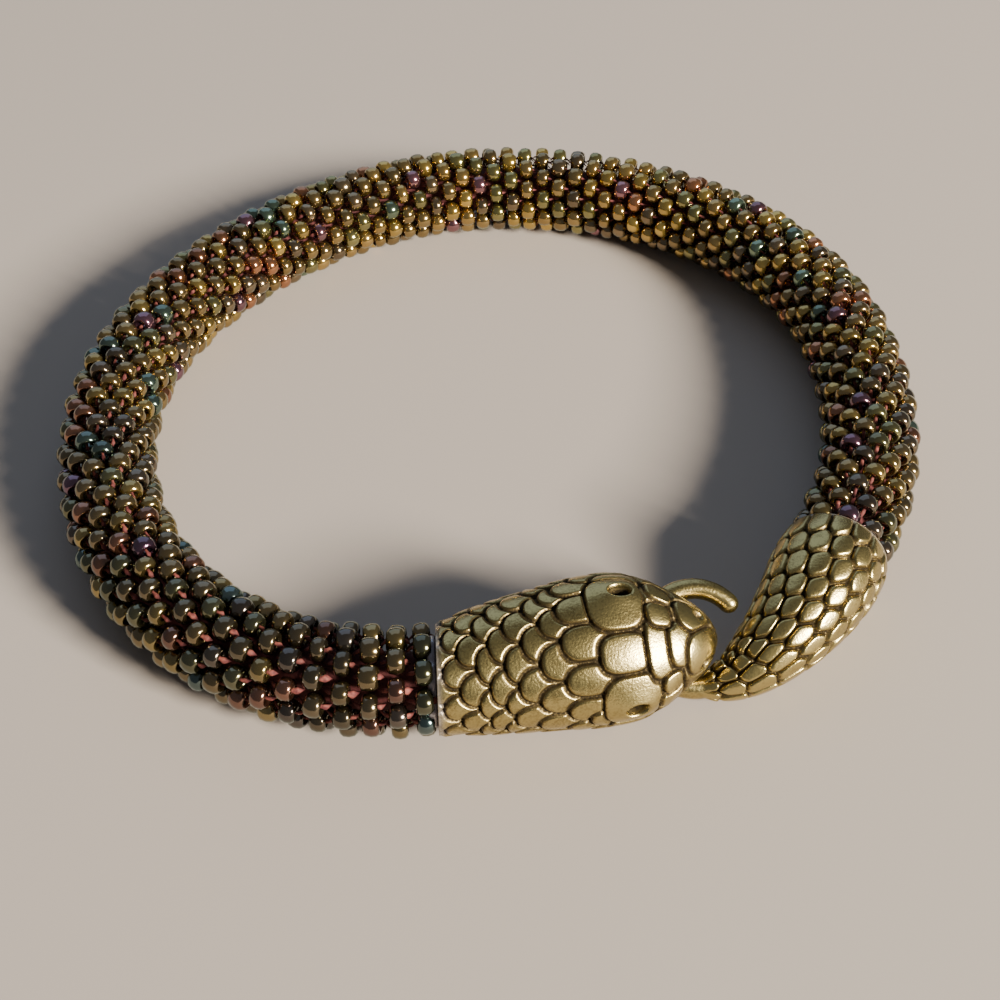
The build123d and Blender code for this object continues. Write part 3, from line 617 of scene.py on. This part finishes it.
def head_columns(along):
    """Turns of the columns, a row for each distance: crown, outer slot, jaw, inner slot."""
    top, bottom = [turns[:, None] for turns in slot_turns(along)]
    spans = [(-top, pi + top, CROWN_COLUMNS), (pi + top, pi + bottom, SLOT_COLUMNS),
             (pi + bottom, 2 * pi - bottom, JAW_COLUMNS),
             (2 * pi - bottom, 2 * pi - top, SLOT_COLUMNS)]
    return np.concatenate([start + (end - start) * np.arange(count) / count
                           for start, end, count in spans], 1)


Scale = namedtuple("Scale", "along turn length width roundness", defaults=[2.3])


def near_scales(scales, along, turn, girth):
    """Each scale, the rows it can touch and their points' places in its outline, 1 at its edge."""
    for scale in scales:
        x = (along - scale.along) / scale.length
        near = np.abs(x) <= 2
        around = (turn[near] - scale.turn + pi) % (2 * pi) - pi
        yield scale, near, x[near][:, None], around * girth[near][:, None] / scale.width


def scale_height(scales, along, turn, girth):
    """Relief of overlapping scales, each over the last, and how dark their grooves are."""
    height, groove = np.full(turn.shape, SCALE_BED), np.full(turn.shape, BED_PATINA)
    for scale, near, x, y in near_scales(scales, along, turn, girth):
        reach = (np.abs(x) ** scale.roundness + np.abs(y) ** scale.roundness) ** (1 / scale.roundness)
        outside = (reach - 1) * min(scale.length, scale.width)
        inside = 1 - ease(-GROOVE_WIDTH / 2, GROOVE_WIDTH / 2, outside)
        crown = SCALE_RELIEF * (0.75 - 0.35 * x - 0.3 * np.minimum(reach, 1) ** 2)
        line = np.exp(-(outside / (GROOVE_WIDTH / 2)) ** 2)
        rows, lines = height[near], groove[near]
        rows += (crown - rows) * inside
        height[near] = rows - GROOVE_DEPTH * line
        groove[near] = np.maximum(lines * (1 - inside), np.exp(-(outside / PATINA_WIDTH) ** 2))
    return np.maximum(height, -GROOVE_DEPTH), groove


def ring_pitches(rings, length):
    """Distance from each ring of scales to the next, the mean of both sides where it has two."""
    return np.gradient([ring.along for ring in rings]) * length


def head_scales():
    """All scales of the head from the neck to the snout, turns from the inner side."""
    scales = []
    for ring, pitch in zip(HEAD_RINGS, ring_pitches(HEAD_RINGS, HEAD_LENGTH)):
        step = 2 * pi / ring.count
        for i in range(ring.count):
            lean = (radians(ring.turn) + i * step + pi) % (2 * pi) - pi
            if ring.along > CROWN_START and abs(lean) < radians(RING_STOP):
                continue
            along = (ring.along + ring.lean * sin(lean)) * HEAD_LENGTH
            width = head_half_sizes(np.array(along))[0] * step * SCALE_SHARE
            scales.append(Scale(along, pi / 2 - lean, pitch * 1.15, width))
    for plate in HEAD_PLATES:
        scales.append(Scale(plate.along * HEAD_LENGTH, pi / 2 - radians(plate.turn),
                            plate.length * HEAD_LENGTH, plate.width * HEAD_WIDTH, PLATE_ROUNDNESS))
    return scales


def pit_reach(place, along, turn, girth, side):
    """Reach from the middle of a pit that is on both sides: 0 in its middle, 1 at its rim."""
    x = (along - place.along * HEAD_LENGTH) / (place.length * HEAD_LENGTH)
    middle = pi / 2 - radians(CROWN_TURN) - side * radians(place.turn)
    y = (turn - middle) * girth[:, None] / (place.width * HEAD_WIDTH)
    return np.hypot(x[:, None], y)


def head_relief(along, turn):
    """Height of the relief over the smooth head, and how much of its patina is worn off."""
    width, rise, drop = head_half_sizes(along)
    girth = np.maximum((width + (rise + drop) / 2) / 2, 0.2)
    height, groove = scale_height(head_scales(), along, turn % (2 * pi), girth)
    for side in (-1, 1):
        reach = pit_reach(EYE_PLACE, along, turn, girth, side)
        eye = 1 - ease(*EYE_RIM, reach)
        height += BROW_HEIGHT * np.exp(-(reach / BROW_SPREAD) ** 2)
        height -= (EYE_DEPTH + np.maximum(height, 0)) * eye
        nostril = 1 - ease(*NOSTRIL_RIM, pit_reach(NOSTRIL_PLACE, along, turn, girth, side))
        height -= NOSTRIL_DEPTH * nostril
        groove = np.maximum(groove * (1 - np.exp(-(reach / EYE_CLEAR) ** 6)), np.maximum(eye, nostril))
    below = np.abs(((turn + pi / 2) % (2 * pi)) - pi) - pi / 2
    top, bottom = [turns[:, None] for turns in slot_turns(along)]
    beside = np.abs(below - (top + bottom) / 2) - (bottom - top) / 2
    calm_mouth = np.where(along[:, None] > mouth_back - 1, ease(0, 0.35, beside), 1)
    calm = ease(0, 0.5, along)[:, None] * (1 - ease(0.955, 1.0, along / HEAD_LENGTH))[:, None]
    # Rubbed wear, with a painted highlight that lightens the snout.
    rubbed = HEAD_WEAR + SNOUT_WEAR_AND_HIGHLIGHT * ease(0.70, 0.92, along / HEAD_LENGTH)[:, None]
    worn = (1 - groove * calm) * (rubbed + HEAD_CONTRAST * np.clip(height / SCALE_RELIEF, -1, 1) * calm)
    return height * calm * calm_mouth, worn


def raised(skin, along, turn, relief, length):
    """The smooth skin's points moved out along their normals by the relief."""
    step = 0.02
    down = skin(np.minimum(along + step, length - 1e-4), turn) - skin(np.maximum(along - step, 0), turn)
    round_way = skin(along, turn + step) - skin(along, turn - step)
    outward = np.cross(round_way, down)
    size = np.linalg.norm(outward, axis=-1, keepdims=True)
    return skin(along, turn) + outward / np.maximum(size, 1e-9) * relief[..., None]


def spaced(start, end, cell):
    """Places from start up to but not including end, about one cell apart."""
    return np.linspace(start, end, ceil((end - start) / cell), endpoint=False)


def socket_points(middle, axis, across, up, turns):
    """Rows of a cup's socket from its bottom to its mouth, and the middle of its bottom."""
    circle = across * np.cos(turns)[:, None] + up * np.sin(turns)[:, None]
    depths = (SOCKET_DEPTH, SOCKET_DEPTH - 0.1, 0.1, 0)
    rows = [middle + axis * depth + circle * SOCKET_RADIUS for depth in depths]
    return np.concatenate(rows), middle + axis * SOCKET_DEPTH


def cup_faces(columns, count, socket_count):
    """Faces of a socket and its rim, and the fans that close the casting's tip and the socket."""
    socket_rows = socket_count // columns
    rim = count + (socket_rows - 1) * columns
    poles = count + socket_count
    return (grid_faces(socket_rows, columns, count).tolist()
            + [(rim + c, rim + (c + 1) % columns, (c + 1) % columns, c) for c in range(columns)]
            + fan_faces(poles, range(count - columns, count), True)
            + fan_faces(poles + 1, range(count, count + columns), False))


def throat_points(place, height_share, crossing, inner_edge, outer_edge):
    """Points of the mouth's wall at one step between its inner (0) and outer (1) edge."""
    origin = hook_centre - head_axis * hook_along
    depth_share = (place - mouth_back) / (mouth_front - mouth_back)
    half = head_half_sizes(np.array(mouth_back))[0]
    post_radius = HOOK_RADIUS - mouth_radius

    def base(x):
        back = np.array([mouth_back, half * (1 - 2 * x)])
        front = np.array([hook_along - post_radius * sin(pi * x), post_radius * cos(pi * x)])
        path = back + (front - back) * depth_share[:, None]
        return head_axis * path[:, :1] + hook_across * path[:, 1:]

    up = hook_up * (MOUTH_GAP * (height_share - 0.5))[:, None]
    edge, target = (inner_edge, 0) if crossing < 0.5 else (outer_edge, 1)
    rest = edge - (origin + base(target) + up)
    return origin + base(crossing) + up + rest * abs(1 - 2 * crossing) ** 5


def casting_shades(worn, along, plain):
    """Values for the brass at every point: how worn its patina is, and dried glue by the cup."""
    residue = np.repeat(np.exp(-(along / GLUE_SMEAR) ** 2), worn.shape[1])
    return {"worn": np.concatenate([worn.ravel(), np.full(plain, PLAIN_WEAR)]),
            "residue": np.concatenate([residue, np.zeros(plain)])}


def head_mesh():
    """Points, faces and shades of the head with its socket and its open mouth."""
    places = [spaced(0, mouth_back, HEAD_CELL), spaced(mouth_back, mouth_front, HEAD_CELL),
              spaced(mouth_front, HEAD_LENGTH - TIP_STEPS[0], HEAD_CELL)]
    first_row = len(places[0])
    last_row = first_row + len(places[1])
    along = np.concatenate(places + [HEAD_LENGTH - np.array(TIP_STEPS)])
    turn = head_columns(along)
    relief, worn = head_relief(along, turn)
    rows, columns = turn.shape
    skin = raised(head_skin, along, turn, relief, HEAD_LENGTH)
    inner, outer = columns - SLOT_COLUMNS, CROWN_COLUMNS

    kept = np.ones((rows - 1, columns), bool)
    kept[first_row:last_row, inner:] = False
    kept[first_row:last_row, outer:outer + SLOT_COLUMNS] = False
    faces = grid_faces(rows, columns)[kept.ravel()].tolist()
    flat_skin = skin.reshape(-1, 3)
    count = rows * columns

    socket, bottom = socket_points(head_mouth, head_end, *leaned_ways(head_end), turn[0])
    points = [flat_skin, socket, head_mouth[None] + head_axis * HEAD_LENGTH, bottom[None]]
    faces += cup_faces(columns, count, len(socket))

    last = inner + SLOT_COLUMNS
    loop = [(first_row, c) for c in range(inner, last)] + [(r, last) for r in range(first_row, last_row)]
    loop += [(last_row, c) for c in range(last, inner, -1)]
    loop += [(r, inner) for r in range(last_row, first_row, -1)]
    loop_rows, loop_columns = np.array(loop).T
    inner_ids = loop_rows * columns + loop_columns % columns
    outer_ids = loop_rows * columns + outer + SLOT_COLUMNS - (loop_columns - inner)
    loops, base = [inner_ids], count + len(socket) + 2
    for step in range(1, THROAT_STEPS):
        points.append(throat_points(along[loop_rows], (loop_columns - inner) / SLOT_COLUMNS,
                                    step / THROAT_STEPS, flat_skin[inner_ids], flat_skin[outer_ids]))
        loops.append(base + (step - 1) * len(loop) + np.arange(len(loop)))
    loops.append(outer_ids)
    for near, far in zip(loops, loops[1:]):
        faces += np.stack([near, np.roll(near, -1), np.roll(far, -1), far], -1).tolist()
    points = np.concatenate(points)
    return points, faces, casting_shades(worn, along, len(points) - count)


def effect_group(name, inputs, outputs):
    """An empty shader effect with named number inputs, each with its value, and outputs."""
    group = bpy.data.node_groups.new(name, "ShaderNodeTree")
    for label, value in inputs.items():
        socket = group.interface.new_socket(label, in_out="INPUT", socket_type="NodeSocketFloat")
        socket.default_value = value
    for label in outputs:
        group.interface.new_socket(label, in_out="OUTPUT", socket_type="NodeSocketFloat")
    return group, group.nodes.new("NodeGroupInput"), group.nodes.new("NodeGroupOutput")


def worn_relief_group():
    """Masks of an old casting: worn metal from its stored wear, its grain and its blotches."""
    group, given, made = effect_group(
        "worn_relief",
        {"Grain Size": 5500.0, "Blotch Size": 1500.0, "Unevenness": 0.75, "Speckle": 1.2},
        ("Wear", "Grain", "Blotch"))
    nodes, links = group.nodes, group.links
    worn = add_node(nodes, "ShaderNodeAttribute", attribute_name="worn")
    place = nodes.new("ShaderNodeTexCoord")
    grain = add_node(nodes, "ShaderNodeTexNoise", {"Detail": 3})
    blotch = add_node(nodes, "ShaderNodeTexNoise", {"Detail": 5, "Roughness": 0.65})
    centred = add_node(nodes, "ShaderNodeMath", {1: 0.5}, operation="SUBTRACT")
    uneven = add_node(nodes, "ShaderNodeMath", operation="MULTIPLY_ADD")
    fine = add_node(nodes, "ShaderNodeMath", {1: 0.5}, operation="SUBTRACT")
    speckled = add_node(nodes, "ShaderNodeMath", operation="MULTIPLY_ADD")
    join(links, (place, "Object", grain, "Vector"), (place, "Object", blotch, "Vector"),
         (given, "Grain Size", grain, "Scale"), (given, "Blotch Size", blotch, "Scale"),
         (blotch, "Fac", centred, 0), (centred, "Value", uneven, 0), (given, "Unevenness", uneven, 1),
         (worn, "Fac", uneven, 2), (grain, "Fac", fine, 0), (fine, "Value", speckled, 0),
         (given, "Speckle", speckled, 1), (uneven, "Value", speckled, 2),
         (speckled, "Value", made, "Wear"), (grain, "Fac", made, "Grain"),
         (blotch, "Fac", made, "Blotch"))
    return group


BRASS_TONES = [  # colour by wear, from the patina in the grooves to polished tops
    (0.00, (0.034, 0.025, 0.014, 1)),
    (0.30, (0.105, 0.076, 0.033, 1)),
    (0.62, (0.255, 0.192, 0.074, 1)),
    (1.00, (0.455, 0.362, 0.142, 1)),
]
DRIED_GLUE = (0.26, 0.24, 0.26, 1)


def brass_material():
    """Antique brass: dark in the hollows, dull olive on the flats, bright on the worn tops."""
    material, nodes, links, skin = new_finish("antique_brass", {})
    wear = add_node(nodes, "ShaderNodeGroup", node_tree=worn_relief_group())
    tone = nodes.new("ShaderNodeValToRGB")
    while len(tone.color_ramp.elements) < len(BRASS_TONES):
        tone.color_ramp.elements.new(0.5)
    for stop, (place, colour) in zip(tone.color_ramp.elements, BRASS_TONES):
        stop.position, stop.color = place, colour
    gloss = add_node(nodes, "ShaderNodeMapRange", {"From Max": 0.7, "To Min": 0.78, "To Max": 0.26})
    residue = add_node(nodes, "ShaderNodeAttribute", attribute_name="residue")
    film = add_node(nodes, "ShaderNodeMath", operation="MULTIPLY")
    coat = add_node(nodes, "ShaderNodeMix", {"B": DRIED_GLUE}, data_type="RGBA")
    metal = add_node(nodes, "ShaderNodeMapRange", {"To Min": 1.0, "To Max": 0.2})
    bump = add_node(nodes, "ShaderNodeBump", {"Strength": 0.5, "Distance": 0.045 * MM})
    join(links, (wear, "Wear", tone, "Fac"), (wear, "Wear", gloss, "Value"), (residue, "Fac", film, 0),
         (wear, "Blotch", film, 1), (film, "Value", coat, "Factor"), (film, "Value", metal, "Value"),
         (tone, "Color", coat, "A"), (coat, "Result", skin, "Base Color"),
         (metal, "Result", skin, "Metallic"), (gloss, "Result", skin, "Roughness"),
         (wear, "Grain", bump, "Height"), (bump, "Normal", skin, "Normal"))
    return material


antique_brass = brass_material()
mesh_piece("cast_head", "snake_head", "antique_brass", antique_brass, *head_mesh())

# The cast snake's tail

# The same brass: a scaled tail with a socket like the head's, drawn out into a plain round
# wire that goes through the mouth as a hook.
TAIL_GIRTH = 8.9
TAIL_EASE = 0.38
SHANK_EASE = 0.31
HOOK_TIP_DIAMETER = 1.6
HOOK_SWEEP = 234.0
HOOK_SLIMMING = 60.0  # turn from which the wire gets thinner
TIP_ROUNDING = (15, 30, 45, 60, 72, 82)
TAIL_CELL = 0.09
WIRE_CELL = 0.20
TAIL_COLUMNS = 288
CELL_STRETCH = 1.15
CELL_GROOVE = 0.16
CORNER_SHARPNESS = 17.0
CELL_MIDDLE = 0.30  # how far inside its cell a scale's middle lies
TAIL_WEAR = 0.72
HOOK_WEAR = 0.90
TAIL_CONTRAST = 0.28
TAIL_RINGS = [ScaleRing(*row) for row in (
    (0.089, 15, 16, 0.028), (0.167, 15, 4, 0.040), (0.268, 15, 16, 0.059), (0.368, 15, 4, 0.072),
    (0.473, 15, 16, 0.072), (0.581, 15, 4, 0.078), (0.697, 15, 16, 0.080), (0.792, 11, 20, 0.039),
    (0.880, 8, 33, 0.00), (0.975, 8, 10, 0.00),
)]
TailSection = namedtuple("TailSection", "along fullness")
TAIL_SECTIONS = [TailSection(*row) for row in (
    (0.00, 0.99), (0.10, 1.00), (0.23, 0.95), (0.39, 0.80), (0.56, 0.61), (0.70, 0.43),
    (0.82, 0.26), (0.92, 0.10), (1.00, 0.00),
)]

tail_joint, tail_end = route_end(ROPE_ROUTE[-2], ROPE_ROUTE[-1])
tail_mouth = tail_joint + tail_end * (GLUE_LINE + 2 * FIT_GAP)
shank_start = hook_centre - hook_across * HOOK_RADIUS
tail_span = np.linalg.norm(shank_start - tail_mouth)


def tail_fullness(share):
    """Radius of the tail by its table, the cup's own mouth left aside."""
    full, shank = TAIL_GIRTH / 2, SHANK_DIAMETER / 2
    return shank + (full - shank) * smooth_column(TAIL_SECTIONS, "fullness", share)


def tail_centres(share):
    """Middle line of the tail, which lies on its belly scales until it rises to the shank."""
    a, d = tail_mouth, shank_start
    b, c = a + tail_end * (tail_span * TAIL_EASE), d + head_axis * (tail_span * SHANK_EASE)
    x = share[:, None]
    point = a * (1 - x)**3 + b * (3 * x * (1 - x)**2) + c * (3 * x * x * (1 - x)) + d * x**3
    lying = tail_fullness(share) + SCALE_RELIEF + FIT_GAP
    lying = lying + (ROPE_RADIUS - lying) * (1 - ease(0, 0.15, share))
    rising = ease(0.55, 1, share)
    return np.column_stack([point[:, :2], lying * (1 - rising) + point[:, 2] * rising])


tail_steps = np.diff(tail_centres(np.linspace(0, 1, 51)), axis=0)
tail_length = np.linalg.norm(tail_steps, axis=1).sum()


def tail_radius(share):
    settled = ease(0, NECK_LENGTH / tail_length, share)
    return CUP_RADIUS * (1 - settled) + tail_fullness(share) * settled


def tail_scales():
    """Staggered rings of scales from the cup to the hook, each at the middle of its cell."""
    scales = []
    for ring, pitch in zip(TAIL_RINGS, ring_pitches(TAIL_RINGS, tail_length)):
        for i in range(ring.count):
            turn = radians(ring.turn) + 2 * pi * i / ring.count
            along = (ring.along - ring.lean * cos(turn)) * tail_length
            width = tail_radius(np.array(along / tail_length)) * 2 * pi / ring.count
            scales.append(Scale(along, turn, pitch * CELL_STRETCH, width))
    return scales


def cell_height(scales, along, turn, girth):
    """Relief of scales that meet edge to edge, each a low pillow, and the grooves' darkness."""
    nearest, narrow = np.full(turn.shape, 9.0), np.ones(turn.shape)
    pull = np.zeros(turn.shape)
    for scale, near, x, y in near_scales(scales, along, turn, girth):
        reach = x ** 2 + y ** 2
        narrow[near] = np.where(reach < nearest[near], min(scale.length, scale.width), narrow[near])
        nearest[near] = np.minimum(nearest[near], reach)
        pull[near] += np.exp(-CORNER_SHARPNESS * reach / 2)
    others = pull * np.exp(CORNER_SHARPNESS * nearest / 2) - 1
    inside = np.clip(-np.log(np.maximum(others, 1e-9)) / CORNER_SHARPNESS, 0, CELL_MIDDLE)
    groove = np.exp(-(inside * narrow / (CELL_GROOVE / 2)) ** 2)
    crown = 1 - (1 - inside / CELL_MIDDLE) ** 4
    return SCALE_RELIEF * crown - GROOVE_DEPTH * groove, groove


def carried_ways(centres):
    """Across and up of the section planes along a line, each turned as little as the line."""
    ahead = np.empty_like(centres)
    ahead[1:-1] = centres[2:] - centres[:-2]
    ahead[0], ahead[-1] = tail_end, centres[-1] - centres[-2]
    ahead = unit(ahead)
    across, up = np.empty_like(centres), np.empty_like(centres)
    carried = UP
    for i, axis in enumerate(ahead):
        across[i] = unit(np.cross(carried, axis))
        up[i] = carried = np.cross(axis, across[i])
    return across, up


def tail_mesh():
    """Points, faces and shades of the tail with its socket, scales and hook."""
    share = spaced(0, 1, TAIL_CELL / tail_length)
    hook_turn = np.linspace(0, HOOK_SWEEP, ceil(radians(HOOK_SWEEP) * HOOK_RADIUS / WIRE_CELL) + 1)
    angle = np.radians(-90 - hook_turn)[:, None]
    hook = hook_centre + (head_axis * np.cos(angle) + hook_across * np.sin(angle)) * HOOK_RADIUS
    centres = np.concatenate([tail_centres(share), hook])
    across, up = carried_ways(centres)

    turn = 2 * pi * np.arange(TAIL_COLUMNS) / TAIL_COLUMNS
    radius = tail_radius(share)
    height, groove = cell_height(tail_scales(), share * tail_length,
                                 np.tile(turn, (len(share), 1)), radius)
    calm = ease(0, 0.8, share * tail_length) * (1 - ease(0.94, 1, share))
    relief = height * calm[:, None]
    rubbed = TAIL_WEAR + (HOOK_WEAR - TAIL_WEAR) * ease(0.55, 1, share)[:, None]
    tops = TAIL_CONTRAST * np.clip(height / SCALE_RELIEF, -1, 1)
    worn = (1 - groove * calm[:, None]) * (rubbed + tops)
    slimming = ease(HOOK_SLIMMING, HOOK_SWEEP, hook_turn)
    wire = (SHANK_DIAMETER + (HOOK_TIP_DIAMETER - SHANK_DIAMETER) * slimming) / 2
    tip = HOOK_TIP_DIAMETER / 2
    tip_axis = np.cross(across[-1], up[-1])
    rounding = np.radians(TIP_ROUNDING)
    centres = np.concatenate([centres, centres[-1] + tip_axis * (tip * np.sin(rounding))[:, None]])
    across, up = [np.concatenate([way, np.repeat(way[-1:], len(rounding), 0)]) for way in (across, up)]
    plain = np.concatenate([wire, tip * np.cos(rounding)])
    relief = np.concatenate([relief, np.zeros((len(plain), TAIL_COLUMNS))])
    worn = np.concatenate([worn, np.full((len(plain), TAIL_COLUMNS), HOOK_WEAR)])
    place = np.concatenate([share * tail_length, np.full(len(plain), tail_length)])
    reach = np.concatenate([radius, plain])[:, None] + relief
    circle = across[:, None] * np.cos(turn)[:, None] + up[:, None] * np.sin(turn)[:, None]
    skin = (centres[:, None] + circle * reach[..., None]).reshape(-1, 3)

    socket, bottom = socket_points(tail_mouth, tail_end, across[0], up[0], turn)
    faces = grid_faces(len(centres), TAIL_COLUMNS).tolist()
    faces += cup_faces(TAIL_COLUMNS, len(skin), len(socket))
    hook_tip = centres[-len(rounding) - 1] + tip_axis * tip
    points = np.concatenate([skin, socket, hook_tip[None], bottom[None]])
    return points, faces, casting_shades(worn, place, len(points) - len(skin))


mesh_piece("cast_tail", "snake_tail", "antique_brass", antique_brass, *tail_mesh())

# The glue in the cups

# Clear glue that has set in each socket and stands a little out of it, round the last beads:
# a thin, glossy, slightly milky ring with an uneven edge.
GLUE_RADIUS = 3.85
GLUE_BORE = 2.42
GLUE_SIDES = 120
GLUE_WAVES = ((3, 0.20, 0.4), (7, 0.30, 1.9), (19, 0.12, 4.1))  # waves round, height, phase in radians
GLUE_COLOUR = (0.36, 0.31, 0.34, 1)
LIP_DEPTH = 0.05  # from which the glue is a film in the socket
FILM_SHARE = 0.2  # share of the way out at which that film ends
LUMP_SHARE = 0.25  # how far the edge's waves also go along the rope
GLUE_SECTION = [  # depth into the cup and share of the way out from the bore
    (3.3, 0.0), (3.3, FILM_SHARE), (0.06, FILM_SHARE), (0.0, 0.5), (-0.02, 0.93), (-0.18, 1.0), (-0.50, 1.0),
    (-0.66, 0.92), (-0.70, 0.5), (-0.70, 0.0),
]


def glue_material():
    """Set clear glue, thin and milky, with small ripples."""
    material, nodes, links, skin = new_finish("clear_glue", {
        "Base Color": GLUE_COLOUR, "Roughness": 0.38, "Transmission Weight": 0.25})
    place = nodes.new("ShaderNodeTexCoord")
    ripples = add_node(nodes, "ShaderNodeTexNoise", {"Scale": 900})
    bump = add_node(nodes, "ShaderNodeBump", {"Distance": 0.2 * MM})
    join(links, (place, "Object", ripples, "Vector"), (ripples, "Fac", bump, "Height"),
         (bump, "Normal", skin, "Normal"))
    return material


def glue_points(middle, axis, phase):
    """Rings of points of one glue ring, its outer edge uneven."""
    across = unit(np.cross(UP, axis))
    turn = 2 * pi * np.arange(GLUE_SIDES) / GLUE_SIDES
    circle = across * np.cos(turn)[:, None] + UP * np.sin(turn)[:, None]
    edge = -sum(height * (0.5 + 0.5 * np.sin(waves * turn + start + phase))
                for waves, height, start in GLUE_WAVES)
    rings = []
    for depth, out in GLUE_SECTION:
        if depth < LIP_DEPTH:
            radius = GLUE_BORE + (GLUE_RADIUS + edge - GLUE_BORE) * out
        else:
            film = (SOCKET_RADIUS - FIT_GAP - GLUE_BORE) * min(out / FILM_SHARE, 1)
            radius = np.full(GLUE_SIDES, GLUE_BORE + film)
        lumps = LUMP_SHARE * (radius - radius.max()) * (depth < -0.1) * axis[:, None]
        rings.append(middle + axis * (depth - FIT_GAP) + circle * radius[:, None] - lumps.T)
    return np.concatenate(rings)


clear_glue = glue_material()
glue_faces = grid_faces(len(GLUE_SECTION), GLUE_SIDES, closed=True)
mesh_piece("glue_at_head", "glue_ring_head", "glue", clear_glue,
           glue_points(head_mouth, head_end, 0.0), glue_faces)
mesh_piece("glue_at_tail", "glue_ring_tail", "glue", clear_glue,
           glue_points(tail_mouth, tail_end, 2.0), glue_faces)
